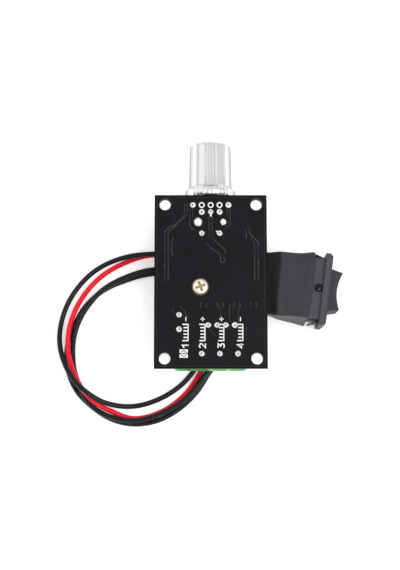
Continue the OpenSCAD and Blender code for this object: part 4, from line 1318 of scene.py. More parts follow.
@dataclass
class SolderJoints:
    """The solder joints on the board's upper face, with the cut pins in them.

    Attributes:
        joint_radius: Radius of a round joint.
        joint_height: Height of a round joint.
        joints: Places of the round joints.
        lugs: Places of the two large joints of the bracket.
        square_pad: Middle of the square pad at the first pole.
        seed: Start of the random draws.
        radius_range: Shares between which a joint's radius varies.
        height_range: Shares between which its height varies.
        lobe_range: Shares between which the depth of its lobes varies.
        pin_x: Shifts between which its cut pin lies across the board.
        pin_y: Shifts between which its cut pin lies along the board.
        fillet: Radius and height of a joint's rings, as shares of its size.
        cut_pin: Radius and height of the cut pin's rings.
        sides: Points of a joint's ring.
        pin_sides: Points of a cut pin's ring.
        halo_width: Width of the bare ring round a joint.
        halo_rise: Heights of its outer and inner top edge.
        halo_slope: Width of its sloped outer edge.
        lug_sides: Points of a large joint's ring.
        lug_sizes: Sizes of the two large joints.
        lug_fillet: Radius and height of a large joint's rings, the radius as a share of its size.
        lug_lobes: Depths of its two kinds of lobes.
        lug_shift: Place of the bracket's tip in a large joint.
        lug_tip: Size of that tip, its length as a share of the joint's size.
        lug_halo: Inner radius of the bare ring, then the outer one as a share and an addition.
        bridges: Paths and radii of two small runs of solder.
        tick: Root, tip and half width of the square pad's two marks.
        tick_z: Underside and top of those marks.
    """

    joint_radius: float = 0.86
    joint_height: float = 0.9
    joints: Outline = (
        (-5.08, 21.9), (5.08, 21.9), (-2.54, 19.9), (0, 19.9), (2.54, 19.9), (-2.54, 13.72), (2.54, 13.72),
        (-0.75, -12.54), (1.75, -12.54), (4.25, -12.54), (6.75, -12.54), (-8.95, -9.63), (-8.95, -13.73),
        (-7.62, -20.6), (-2.54, -20.6), (2.54, -20.6), (7.62, -20.6))
    lugs: Outline = ((-3.6, 16.96), (3.6, 16.96))
    square_pad: Pair = (-7.62, -20.6)
    seed: int = 7
    radius_range: Pair = (0.96, 1.06)
    height_range: Pair = (0.82, 1.05)
    lobe_range: Pair = (0.01, 0.035)
    pin_x: Pair = (-0.1, 0.14)
    pin_y: Pair = (-0.04, 0.14)
    fillet: Outline = ((1.0, 0.0), (0.985, 0.14), (0.93, 0.26), (0.83, 0.37), (0.7, 0.47), (0.56, 0.56),
                       (0.44, 0.64), (0.36, 0.69), (0.31, 0.7), (0.27, 0.66), (0.24, 0.56), (0.01, 0.54))
    cut_pin: Outline = ((0.3, 0.3), (0.29, 0.6), (0.2, 0.68), (0.01, 0.65))
    sides: int = 28
    pin_sides: int = 14
    halo_width: float = 0.36
    halo_rise: Pair = (0.014, 0.02)
    halo_slope: float = 0.03
    lug_sides: int = 32
    lug_sizes: Pair = (1.1, 0.86)
    lug_fillet: Outline = ((1.17, 0), (1.15, 0.12), (1.05, 0.32), (0.86, 0.5), (0.6, 0.62), (0.34, 0.67),
                           (0.01, 0.68))
    lug_lobes: Pair = (0.04, 0.03)
    lug_shift: Point = (0.08, -0.1, 0.62)
    lug_tip: Point = (0.62, 1.3, 0.3)
    lug_halo: Point = (1.0, 1.2, 0.33)
    bridges: Sequence[tuple[Sequence[Point], float]] = (
        (((0.03, 19.2, 0.1), (0.05, 18.75, 0.16), (0.02, 18.6, 0.1)), 0.24),
        (((2.1, 14.0, 0.25), (1.75, 14.2, 0.2), (1.6, 14.22, 0.12)), 0.26))
    tick: Point = (0.86, 1.18, 0.3)
    tick_z: Pair = (0.03, 0.075)

    def _halo(self, halos: Form, centre: Pair, inner: float, outer: float, sides: int) -> None:
        """Adds the bare ring round one joint.

        Args:
            halos: The mesh.
            centre: Middle of the joint.
            inner: Inner radius.
            outer: Outer radius.
            sides: Points of the ring.
        """
        low, high = self.halo_rise
        halos.revolve([(inner, 0.0), (outer, 0.0), (outer - self.halo_slope, low), (inner, high)],
                      (*centre, 0.0), sides, loop=True)

    def build(self, bench: Bench) -> None:
        """Makes the solder joints, each a little different, with the cut pin in its middle.

        Args:
            bench: Where the pieces are made.
        """
        chance = random.Random(self.seed)
        fillets, pins, lugs, halos = Form(), Form(), Form(), Form()
        for x, y in self.joints:
            radius = self.joint_radius * chance.uniform(*self.radius_range)
            height = self.joint_height * chance.uniform(*self.height_range)
            lean = chance.uniform(*self.lobe_range)
            lobes, phase = chance.choice((2, 3)), chance.uniform(0, ANY_PHASE)

            def shape(angle: float, r: float, z: float, lean: float = lean, lobes: int = lobes,
                      phase: float = phase) -> float:
                """Radius of the fillet, slightly lobed."""
                return r * (1 + lean * math.cos(lobes * angle + phase))

            rings = [(r * radius, z * height) for r, z in self.fillet]
            fillets.revolve(rings, (x, y, 0.0), self.sides, shape=shape)
            pin = (x + chance.uniform(*self.pin_x), y - chance.uniform(*self.pin_y), 0.0)
            pins.revolve(self.cut_pin, pin, self.pin_sides)
            self._halo(halos, (x, y), radius, radius + self.halo_width, self.sides)
        for (x, y), size in zip(self.lugs, self.lug_sizes):
            phase = chance.uniform(0, ANY_PHASE)

            def blob(angle: float, r: float, z: float, phase: float = phase, size: float = size) -> float:
                """Radius of the large joint, longer along the board."""
                long, lobed = self.lug_lobes
                return size * r * (1 + long * math.cos(2 * angle + math.pi)
                                   + lobed * math.cos(5 * angle + phase))

            fillets.revolve(self.lug_fillet, (x, y, 0.0), self.lug_sides, shape=blob)
            dx, dy, z = self.lug_shift
            wide, long, tall = self.lug_tip
            lugs.box((x + dx, y + dy, z), (wide, long * size, tall))
            inner, share, more = self.lug_halo
            self._halo(halos, (x, y), inner, share * size + more, self.lug_sides)
        for path, radius in self.bridges:
            fillets.rod(path, radius)
        bench.make(fillets, "solder_fillets", Slot.SOLDER, stands_for=["solder_joints"], sharp=60)
        bench.make(pins, "cut_pins", "cut_pin", bevel=0.05)
        bench.make(lugs, "bracket_lug_tips", Slot.SOLDER, bevel=0.12)
        x, y = self.square_pad
        root, tip, half = self.tick
        for side in (-1, 1):
            near, far = x + side * root, x + side * tip
            halos.loft([[(near, y, z), (far, y - half, z), (far, y + half, z)] for z in self.tick_z])
        bench.make(halos, "pad_clearances", "clearance")


@dataclass
class Tracks:
    """Edges of the tracks under the mask and the rings round the board's holes; the track edges and the rings
    of the filled and mounting holes are painted highlights, and dark discs in the empty plated holes are
    painted shade.

    Attributes:
        track_width: Width of a track's edge, a painted highlight.
        track_z: Underside and top of a track's edge.
        tracks: Edges of the tracks that show through the mask as painted highlights.
        vias: Middles of the filled holes.
        via_radius: Radius of the painted highlight ring round a filled hole.
        via_turns: First and last angle of each half of that ring in degrees, and the step.
        holes: Place of a mounting hole, the same to all four sides.
        hole_ring: Radius and height of the painted highlight ring round it.
        ring_sides: Points of that ring.
        empty_holes: Places of the plated holes without a pin.
        hole_rim: Radius and height of the rim of such a hole.
        rim_sides: Points of that rim.
        hole_shade: Radius and height of the dark disc painted as shade at its bottom.
        shade_sides: Points of that disc.
    """

    track_width: float = 0.12
    track_z: Pair = (-0.01, 0.02)
    tracks: Sequence[Outline] = (
        ((-7.46, 22.91), (-7.45, 19.56)), ((-5.89, 20.8), (-5.89, 15.7), (-5.37, 15.06), (-4.33, 14.64)),
        ((-5.13, 20.8), (-5.13, 18.33)), ((-6.6, 22.6), (-6.6, 19.3), (-11.24, 14.7)),
        ((-7.45, 19.04), (-11.75, 14.64), (-12.1, 13.94), (-12.04, 0.17)),
        ((-11.24, 16.05), (-13.06, 14.12), (-13.07, 0.17), (-13.3, 0.0)),
        ((-10.54, 12.36), (-10.95, 11.84), (-11.04, 8.0), (-10.7, 7.3)), ((-0.46, 18.51), (-0.47, 12.36)),
        ((0.4, 18.51), (0.39, 12.36), (4.1, 8.87), (4.17, 8.0)), ((-1.4, 10.79), (-0.54, 10.09), (2.72, 7.3)),
        ((2.83, 7.12), (2.72, 5.56), (3.23, 5.21), (3.92, 5.56), (3.75, 6.78)),
        ((4.66, 20.97), (4.65, 18.68)), ((5.52, 20.97), (5.51, 16.22), (4.99, 15.52), (3.85, 14.82)),
        ((9.99, 14.64), (10.15, 12.01)),
        ((9.99, 14.99), (10.34, 15.7), (11.03, 15.34), (11.09, 13.77), (13.52, 11.14), (13.44, 0.17)),
        ((11.35, 12.36), (12.48, 11.14), (12.48, 0.17), (12.8, 0.0)),
        ((-10.65, -7.26), (-10.78, -8.12), (-10.47, -8.98)),
        ((-8.77, -7.26), (-7.4, -8.63), (-6.61, -10.18), (-6.61, -10.7)),
        ((10.01, -13.1), (10.17, -13.78), (9.83, -14.47)), ((-0.06, -14.12), (1.47, -15.84)),
        ((2.0, -6.4), (2.25, -7.3), (2.79, -8.12), (2.78, -10.01)), ((5.25, -7.26), (5.24, -11.73)),
        ((7.81, -8.12), (7.8, -11.73)), ((5.25, -7.26), (5.77, -6.74)),
        ((-12.9, -0.1), (-12.4, -0.1)))
    vias: Outline = ((-2.05, -6.9), (2.66, -6.9), (7.4, -6.9), (12.1, -6.9))
    via_radius: float = 0.95
    via_turns: tuple[int, int, int] = (-50, 51, 20)
    holes: Pair = (13, 22)
    hole_ring: Outline = ((1.6, -0.02), (1.6, 0.012), (1.78, 0.012), (1.8, -0.02))
    ring_sides: int = 48
    empty_holes: Outline = ((-2.54, 21.9), (0, 21.9), (2.54, 21.9))
    hole_rim: Outline = ((0.44, -0.3), (0.46, 0.05), (0.55, 0.068), (0.6, 0.05), (0.6, -0.3))
    rim_sides: int = 28
    hole_shade: Outline = ((0.01, -0.62), (0.46, -0.62), (0.46, -0.5), (0.01, -0.5))
    shade_sides: int = 20

    def _tracks(self, bench: Bench) -> None:
        """Makes the raised edges of the tracks and the rings of the filled holes, lighter than the mask as
        painted highlights.

        Args:
            bench: Where the pieces are made.
        """
        edge_highlights = Form()
        for path in self.tracks:
            edge_highlights.ribbon(path, self.track_width, *self.track_z)
        for x, y in self.vias:
            for side in (-1, 1):
                arc = [(x + side * self.via_radius * math.cos(a), y + self.via_radius * math.sin(a))
                       for a in (math.radians(d) for d in range(*self.via_turns))]
                edge_highlights.ribbon(arc, self.track_width, *self.track_z)
        # Painted highlight on the raised edges of the tracks and the filled holes.
        bench.make(edge_highlights, "track_edge_highlights", "edge_highlight")

    def _rings(self, bench: Bench) -> None:
        """Makes the painted highlight rings round the mounting holes, and the rims of the empty plated holes
        with dark discs of painted shade in them.

        Args:
            bench: Where the pieces are made.
        """
        rings = Form()
        for sx in (-1, 1):
            for sy in (-1, 1):
                rings.revolve(self.hole_ring, (self.holes[0] * sx, self.holes[1] * sy, 0.0),
                              self.ring_sides, loop=True)
        # Painted highlight rings round the mounting holes.
        bench.make(rings, "hole_rings", "edge_highlight")
        rims, shade_discs = Form(), Form()
        for x, y in self.empty_holes:
            rims.revolve(self.hole_rim, (x, y, 0.0), self.rim_sides, loop=True)
            shade_discs.revolve(self.hole_shade, (x, y, 0.0), self.shade_sides)
        bench.make(rims, "hole_rims", "bare_glass", sharp=70)
        # Painted shade: a dark disc at the bottom of each empty plated hole.
        bench.make(shade_discs, "hole_shade_discs", "clearance")

    def build(self, bench: Bench) -> None:
        """Makes the tracks and the rings."""
        self._tracks(bench)
        self._rings(bench)


@dataclass
class Legend:
    """The plain legend on the board: a numeral, a scale and a sign for each pole.

    Attributes:
        stroke: Width of a stroke of the legend.
        tall: Height of a numeral.
        ink_z: Underside and top of the ink.
        foot_y: Place along the board where the legend begins.
        poles: Place and sign of each pole's legend.
        shift: Distance from the pole's place to the foot of its numeral.
        numeral: Start and width of the numeral along the legend.
        scale_marks: Number of the scale's marks, the first one's place and their distance.
        scale_heights: Lower end, upper end and longer upper end of a mark.
        scale_line: Start, end and height of the scale's line, and its share of a stroke.
        sign: Middle, half length, height, lower and upper end of a sign, and its share of a stroke.
    """

    stroke: float = 0.34
    tall: float = 1.75
    ink_z: Pair = (-0.01, 0.022)
    foot_y: float = -19.1
    poles: Sequence[tuple[float, str]] = ((-7.1, "-"), (-2.35, "+"), (2.95, "+"), (8.3, "-"))
    shift: float = 0.85
    numeral: Pair = (0.1, 1.5)
    scale_marks: tuple[int, float, float] = (6, 2.15, 0.92)
    scale_heights: Point = (0.18, 0.82, 1.0)
    scale_line: Sequence[float] = (2.0, 6.92, 0.08, 0.8)
    sign: Sequence[float] = (8.25, 0.58, 0.45, 0.11, 0.79, 0.85)

    def build(self, bench: Bench) -> None:
        """Makes the legend, which is read from the right.

        Args:
            bench: Where the pieces are made.
        """
        ink = Form()
        count, first, step = self.scale_marks
        low, high, longer = self.scale_heights
        start, end, line, thin = self.scale_line
        middle, arm, across, foot, head, thick = self.sign
        for number, (x, sign) in enumerate(self.poles, 1):
            def at(along: float, up: float, x: float = x) -> Pair:
                """Place of a point of the legend, which reads up the board."""
                return (x + self.shift - up * self.tall, self.foot_y + along)

            strokes = [([at(self.numeral[0] + self.numeral[1] * u, v) for u, v in path], 1.0)
                       for path in NUMERALS[number]]
            for k in range(count):
                top = high if k % (count - 1) else longer
                strokes.append(([at(first + step * k, low), at(first + step * k, top)], 1.0))
            strokes.append(([at(start, line), at(end, line)], thin))
            strokes.append(([at(middle - arm, across), at(middle + arm, across)], thick))
            if sign == "+":
                strokes.append(([at(middle, foot), at(middle, head)], thick))
            for path, share in strokes:
                ink.ribbon(path, self.stroke * share, *self.ink_z)
        bench.make(ink, "legend", "legend_ink")


# Potentiometer and knob


@dataclass
class Potentiometer(SubAssembly):
    """The switched potentiometer on its bracket.

    Attributes:
        bushing_radius: Radius over the bushing's thread.
        bushing_start: Place of the bushing's root along the board.
        bushing_length: Length of the threaded part.
        thread_pitch: Pitch of its thread.
        thread_height: Height of the ridge over the bushing.
        thread_root: Depth of its feet in the bushing.
        thread_half: Half of its width.
        thread_ends: Where it begins on the bushing, and the length that stays plain.
        thread_steps: Steps of a turn.
        thread_fade: Steps over which it rises and falls at its ends.
    """

    coats: Sequence[Coat] = (
        Coat(Slot.BRACKET, ("pot_bracket",), 0.12),
        Coat(Slot.MOULDING, ("pot_housing", "pot_switch_case"), 0.15),
        Coat(Slot.MOULDING, ("pot_switch_cam",)), Coat(Slot.PHENOLIC, ("pot_track",)),
        Coat(Slot.PIN, ("pot_pins",)), Coat(Slot.BUSHING, ("pot_bushing",)), Coat(Slot.SHAFT, ("pot_shaft",)),
        Coat(Slot.ROTOR, ("pot_rotor",)), Coat(Slot.CONTACT, ("pot_switch_contacts",)))
    bushing_radius: float = 3.5
    bushing_start: float = 22.3
    bushing_length: float = 5.0
    thread_pitch: float = 0.75
    thread_height: float = 0.16
    thread_root: float = 0.05
    thread_half: float = 0.3
    thread_ends: Pair = (0.35, 0.9)
    thread_steps: int = 24
    thread_fade: int = 8

    def _thread(self, bench: Bench) -> None:
        """Makes the bushing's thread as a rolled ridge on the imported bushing.

        Args:
            bench: Where the pieces are made.
        """
        thread = Form(on_shaft(self.bushing_start))
        rings = []
        begin, plain = self.thread_ends
        last = int((self.bushing_length - plain) / self.thread_pitch) * self.thread_steps
        foot = self.bushing_radius - self.thread_root
        for i in range(last + 1):
            angle = 2 * math.pi * i / self.thread_steps
            z = begin + self.thread_pitch * i / self.thread_steps
            fade = min(1.0, i / self.thread_fade, (last - i) / self.thread_fade)
            ridge = self.bushing_radius + self.thread_height * fade
            section = ((foot, z - self.thread_half), (ridge, z), (foot, z + self.thread_half))
            rings.append([(r * math.cos(angle), r * math.sin(angle), h) for r, h in section])
        thread.loft(rings)
        bench.make(thread, "bushing_thread", Slot.BUSHING, sharp=60)

    def build(self, bench: Bench) -> None:
        """Dresses the potentiometer and makes its thread."""
        super().build(bench)
        self._thread(bench)


@dataclass
class Knob(SubAssembly):
    """The plated knob: a grip with narrow grooves on a wider skirt, hollow behind.

    Attributes:
        start: Place of its open end along the board.
        skirt: Radius and height of the rings from the open end to the grip.
        base_radius: Radius of the grip above the skirt.
        end_radius: Radius of the grip at its far end.
        grip: Heights between which the grip runs.
        rim: Radius of the rounding at the far end.
        cap: Radius and distance from the far end of the rings of its flat end.
        hollow: Radius and height of the rings of the hollow.
        shade_lining: Radius and height of the dark lining in the open end, painted shade of the hollow.
        length: Length of the knob.
        groove_count: Number of grooves.
        groove_sides: Points of a ring for each groove.
        lining_sides: Points of the lining's rings.
        groove_depth: Depth of a groove.
        groove_width: Width of a groove.
        first_groove: Angle of the first groove in degrees.
        shallow: Height under which the grooves are shallower, and by what share.
        fade: Radius from which the grooves grow on the flat end, and over which length.
        crown: Height of the swelling between two grooves.
    """

    coats: Sequence[Coat] = (Coat(Slot.INSERT, ("knob_insert",)),)
    start: float = 25.5
    skirt: Outline = ((7.13, 0.0), (7.25, 0.12), (7.25, 1.95), (7.17, 2.15), (6.75, 2.55), (6.42, 2.86),
                      (6.3, 3.1), (6.25, 3.4))
    base_radius: float = 6.25
    end_radius: float = 6.05
    grip: Pair = (3.4, 14.8)
    rim: float = 1.0
    cap: Outline = ((3.2, 0.0), (1.6, 0.02), (0.02, 0.02))
    hollow: Outline = ((0.02, 14.0), (4.3, 14.0), (4.4, 4.4), (5.2, 4.3), (5.2, 0.15), (5.35, 0.0))
    shade_lining: Outline = ((5.19, 0.03), (5.19, 4.2), (3.9, 4.2), (3.9, 4.1), (5.1, 4.1), (5.1, 0.03))
    length: float = 15.9
    groove_count: int = 14
    groove_sides: int = 20
    lining_sides: int = 56
    groove_depth: float = 0.34
    groove_width: float = 0.28
    first_groove: float = 77.8
    shallow: Pair = (3.2, 0.55)
    fade: Pair = (3.9, 1.6)
    crown: float = 0.1

    def _radius(self, angle: float, radius: float, height: float) -> float:
        """Radius of the knob with its grooves.

        Args:
            angle: Angle round the axis.
            radius: Radius of the plain outline.
            height: Place along the axis.

        Returns:
            The radius less the groove.
        """
        pitch = 2 * math.pi / self.groove_count
        off = (angle - math.radians(self.first_groove) + pitch / 2) % pitch - pitch / 2
        low, share = self.shallow
        depth = self.groove_depth * (1.0 if height > low else share)
        outer = min(1.0, max(0.0, (radius - self.fade[0]) / self.fade[1]))
        crown = self.crown * (1 - (2 * off / pitch) ** 2)
        cut = depth * math.exp(-(radius * off / self.groove_width) ** 2)
        return radius - outer * (cut - crown + self.crown)

    def _outline(self) -> list[Pair]:
        """Outline of the outside.

        Returns:
            Radius and height of each ring.
        """
        low, high = self.grip
        run = list(self.skirt)
        run += [(self.base_radius + (self.end_radius - self.base_radius) * k / 4, low + (high - low) * k / 4)
                for k in range(1, 5)]
        run += [(self.end_radius - self.rim + self.rim * math.cos(math.radians(a)),
                 self.length - self.rim + self.rim * math.sin(math.radians(a))) for a in range(15, 91, 15)]
        return run + [(r, self.length - down) for r, down in self.cap]

    def build(self, bench: Bench) -> None:
        """Makes the knob with its hollow and a dark lining painted as shade in it, and dresses its insert.

        Args:
            bench: Where the pieces are made.
        """
        knob = Form(on_shaft(self.start))
        turns = full_turn(self.groove_count * self.groove_sides)
        rings = [[(r * math.cos(a), r * math.sin(a), z) for a in turns] for r, z in self.hollow]
        for r, z in self._outline():
            radii = [self._radius(a, r, z) for a in turns]
            rings.append([(r * math.cos(a), r * math.sin(a), z) for r, a in zip(radii, turns)])
        knob.loft(rings)
        bench.make(knob, "knob_shell", Slot.KNOB, "knob", ["knob"], sharp=50)
        # Painted shade: a black lining darkens the inside of the open end.
        shade_lining = Form(on_shaft(self.start))
        shade_lining.revolve(self.shade_lining, sides=self.lining_sides, loop=True)
        bench.make(shade_lining, "knob_shade_lining", Slot.INSERT, "knob")
        super().build(bench)


# Terminal, heat sink, header


POLES = range(1, 5)


@dataclass
class ScrewTerminal(SubAssembly):
    """The green block with its contacts and its four clamps."""

    coats: Sequence[Coat] = (
        Coat(Slot.TERMINAL, ("terminal_housing",), 0.12), Coat(Slot.PIN, ("terminal_contacts",)),
        Coat(Slot.SCREW, tuple(f"clamp_screw_{i}" for i in POLES), 0.08),
        Coat(Slot.CAGE, tuple(f"clamp_cage_{i}" for i in POLES), 0.1))


@dataclass
class HeatSink(SubAssembly):
    """The finned heat sink, its screw and the parts clamped under it."""

    coats: Sequence[Coat] = (
        Coat(Slot.SINK, ("heat_sink",), 0.12), Coat(Slot.SINK_SCREW, ("heat_sink_screw",), 0.1),
        Coat(Slot.THERMAL, ("thermal_pads",), 0.05),
        Coat(Slot.PACKAGE, ("power_transistor", "flyback_diode"), 0.12),
        Coat(Slot.PIN, ("transistor_tabs", "diode_tabs")))


@dataclass
class Header(SubAssembly):
    """The four-pin header and the plug on the leads."""

    coats: Sequence[Coat] = (
        Coat(Slot.NYLON, ("header_shell", "plug_housing"), 0.1), Coat(Slot.PIN, ("header_pins",)),
        Coat(Slot.CONTACT, ("plug_contacts",)))


@dataclass
class Capacitor(SubAssembly):
    """The electrolytic capacitor: a beaded can in its shrunk sleeve.

    Attributes:
        centre: Middle of the can.
        radius: Radius of the can.
        sides: Points of its rings.
        lift: Height of its foot above the board.
        height: Height of the can.
        foot: Outline of the sleeve from the foot up, past the can's bead, from the radius and the foot.
        crown: Outline of the sleeve round the top edge, from the radius and the top.
        lid: Radius of the rings of the bare top, and their height from the top.
        score_turns: Directions of the scored lines in degrees; the lines are drawn black as painted shade of
            their grooves.
        score_reach: Half of a line's length.
        score_width: Width of a line.
        score_z: Underside and top of a line, from the top.
    """

    coats: Sequence[Coat] = (Coat(Slot.BUNG, ("capacitor_bung",)), Coat(Slot.PIN, ("capacitor_leads",)))
    centre: Pair = CAN_CENTRE
    radius: float = 4.0
    sides: int = 56
    lift: float = 0.2
    height: float = 12.0
    foot: Outline = ((-0.75, 0.02), (-0.25, 0.0), (-0.02, 0.2), (0.0, 0.5), (-0.03, 0.85), (-0.3, 1.15),
                     (-0.33, 1.4), (-0.05, 1.75), (0.0, 2.1))
    crown: Outline = ((0.0, -0.55), (-0.1, -0.2), (-0.4, 0.0), (-0.95, -0.02), (-1.0, -0.08), (-0.9, -0.3),
                      (-0.75, -0.6))
    lid: Outline = ((3.2, -0.5), (3.15, -0.16), (2.9, -0.1), (1.5, -0.1), (0.02, -0.1))
    score_turns: Sequence[float] = (0, 60, 120)
    score_reach: float = 1.9
    score_width: float = 0.22
    score_z: Pair = (-0.13, -0.06)

    def build(self, bench: Bench) -> None:
        """Makes the sleeve and the scored top, its lines drawn black as painted shade, and dresses the rest.

        Args:
            bench: Where the pieces are made.
        """
        r, h = self.radius, self.height
        x, y = self.centre
        at = (x, y, self.lift)
        sleeve, top, scores = Form(UNDER), Form(UNDER), Form(UNDER)
        outline = [(r + d, z) for d, z in self.foot] + [(r + d, h + z) for d, z in self.crown]
        sleeve.revolve(outline, at, self.sides, loop=True)
        bench.make(sleeve, "capacitor_sleeve", Slot.SLEEVE, stands_for=["capacitor_can"], sharp=60)
        top.revolve([(d, h + z) for d, z in self.lid], at, self.sides)
        bench.make(top, "capacitor_top", "can_metal")
        # Painted shade: the scored lines are black strips on the bare top.
        low, high = (self.lift + h + z for z in self.score_z)
        for turn in self.score_turns:
            dx, dy = (self.score_reach * f(math.radians(turn)) for f in (math.cos, math.sin))
            scores.ribbon([(x - dx, y - dy), (x + dx, y + dy)], self.score_width, low, high)
        bench.make(scores, "capacitor_scores", Slot.PACKAGE)
        super().build(bench)


@dataclass
class SmallParts(SubAssembly):
    """The timer chip and the chip parts on the component face.

    Attributes:
        resistors: Places of the chip resistors.
        capacitors: Places of the chip capacitors.
        length: Length of a chip part.
        width: Width of a chip part.
        cap: Length of an end cap.
        resistor_height: Height of a chip resistor.
        capacitor_height: Height of a chip capacitor.
        inset: Distances by which a body is shorter and narrower than its caps on each side.
        gaps: Distances of a body from the board and under the caps' tops.
        fillet: Outline of a solder fillet: distance from the cap's face and share of the part's height.
    """

    coats: Sequence[Coat] = (
        Coat(Slot.PACKAGE, ("timer_chip",), 0.1), Coat(Slot.PIN, ("timer_chip_legs",), 0.04),
        Coat(Slot.PACKAGE, ("small_diodes",), 0.06))
    resistors: Outline = (
        (12.6, 14.5), (12.6, 11.9), (8.6, 14.5), (8.6, 11.9), (-9.2, 12.6), (-9.2, 15.2), (-13, 8.4),
        (-13, 11), (6.9, -7.4), (10.8, -7.4))
    capacitors: Outline = ((12.6, 17.1), (8.6, 17.1), (-9.2, 9.2), (-13, 13.6), (14, -10.4))
    length: float = 2.0
    width: float = 1.25
    cap: float = 0.4
    resistor_height: float = 0.55
    capacitor_height: float = 0.9
    inset: Pair = (0.1, 0.04)
    gaps: Pair = (0.03, 0.05)
    fillet: Outline = ((0.0, 0.7), (0.14, 0.25), (0.42, 0.0), (-0.05, 0.0))

    def _chips(self, bench: Bench, places: Outline, tall: float, name: str, finish: Slot | str,
               node: str) -> None:
        """Makes one kind of chip part.

        Args:
            bench: Where the pieces are made.
            places: Places of the parts.
            tall: Height of a part.
            name: Name of the bodies.
            finish: Finish of the bodies.
            node: Node that they stand for.
        """
        bodies, caps, fillets = Form(UNDER), Form(UNDER), Form(UNDER)
        half_length, half_width = self.length / 2, self.width / 2
        long, wide = half_length - self.inset[0], half_width - self.inset[1]
        for x, y in places:
            bodies.block((x - long, y - wide, self.gaps[0]), (x + long, y + wide, tall - self.gaps[1]))
            for side in (-1, 1):
                centre = x + side * (self.length - self.cap) / 2
                caps.block((centre - self.cap / 2, y - half_width, 0.0),
                           (centre + self.cap / 2, y + half_width, tall))
                face = x + side * half_length
                ring = [(face + side * out, tall * share) for out, share in self.fillet]
                fillets.loft([[(u, y + s * half_width, v) for u, v in ring] for s in (-1, 1)])
        bench.make(bodies, f"{name}_bodies", finish, stands_for=[node], bevel=0.04)
        bench.make(caps, f"{name}_caps", "end_cap", bevel=0.08)
        bench.make(fillets, f"{name}_fillets", Slot.SOLDER, bevel=0.04)

    def build(self, bench: Bench) -> None:
        """Makes the chip parts and dresses the rest.

        Args:
            bench: Where the pieces are made.
        """
        self._chips(bench, self.resistors, self.resistor_height, "resistor", "resistor_body",
                    "chip_resistors")
        self._chips(bench, self.capacitors, self.capacitor_height, "chip_capacitor", Slot.CERAMIC,
                    "chip_capacitors")
        super().build(bench)


# Rocker switch and boot


@dataclass
class RockerSwitch(SubAssembly):
    """The rocker switch that lies on its side.

    Attributes:
        pivot: Place of the rocker's pivot on the side that looks up.
        sides: Points of a hole's dark bottom, a disc of painted shade.
        hole_radius: Radius of the pivot's hole.
        stub_radius: Radius of the worn stub in it.
        stub_shift: Distance of the stub from the hole's middle, both ways.
        stub_height: Height of the stub.
        stub_turns: First and last angle of the stub's round side, and the step.
        inner_radius: Radius of the hole's second dark bottom, also painted shade.
        inner_step: Height of that bottom over the first.
        film: Thickness of a bottom.
    """

    coats: Sequence[Coat] = (
        Coat(Slot.SWITCH, ("switch_housing", "switch_base"), 0.14), Coat(Slot.ROCKER, ("rocker",), 0.3),
        Coat(Slot.NYLON, ("switch_plungers",)), Coat(Slot.SCREW, ("plunger_springs",)),
        Coat(Slot.BLADE, ("contact_blades",)), Coat(Slot.PIN, ("switch_terminals", "cross_links")),
        Coat(Slot.LEAD_DARK, ("lead_tails",)))
    pivot: Point = (-1.25, 0.0, 5.96)
    sides: int = 32
    hole_radius: float = 1.14
    stub_radius: float = 0.62
    stub_shift: float = 0.1
    stub_height: float = 0.4
    stub_turns: tuple[int, int, int] = (-135, 46, 15)
    inner_radius: float = 0.78
    inner_step: float = 0.3
    film: float = 0.03

    def _pivots(self, bench: Bench) -> None:
        """Makes the dark bottom of the pivot's two holes, discs of painted shade, and the lighter half of
        each stub.

        Args:
            bench: Where the pieces are made.
        """
        shade_discs, stubs = Form(SWITCH), Form(SWITCH)
        x, y, top = self.pivot
        half_turn = [math.radians(d) for d in range(*self.stub_turns)]
        stub = [(x + self.stub_shift + self.stub_radius * math.cos(a),
                 y - self.stub_shift + self.stub_radius * math.sin(a)) for a in half_turn]
        for side in (-1, 1):
            for radius, low in ((self.hole_radius, top), (self.inner_radius, top + self.inner_step)):
                shade_discs.loft([[(x + radius * math.cos(a), y + radius * math.sin(a), side * z)
                              for a in full_turn(self.sides)] for z in (low, low + self.film)])
            stubs.loft([[(u, v, side * z) for u, v in stub] for z in (top, top + self.stub_height)])
        # Painted shade: near-black discs at the bottom of the pivot's holes.
        bench.make(shade_discs, "pivot_hole_shade_discs", "clearance", "rocker")
        bench.make(stubs, "pivot_stubs", Slot.SWITCH, "rocker", bevel=0.06)

    def build(self, bench: Bench) -> None:
        """Dresses the switch and makes what shows in the pivot's holes."""
        super().build(bench)
        self._pivots(bench)


@dataclass(frozen=True)
class BootStation:
    """Section of the boot at one place along the switch.

    Attributes:
        x: Place along the switch.
        low_y: Edge on the lower side of the photograph.
        high_y: Edge on the upper side of the photograph.
        low_z: Underside.
        high_z: Top.
        corner: Radius of the corners.
        slope: Drop of the upper edge on the knob's side.
        bow: Distance by which the ends of the section are drawn back from the mouth.
        lean: Distance by which the lower wall's top is drawn in over its foot.
    """

    x: float
    low_y: float
    high_y: float
    low_z: float
    high_z: float
    corner: float
    slope: float = 0.0
    bow: float = 0.0
    lean: float = 0.0


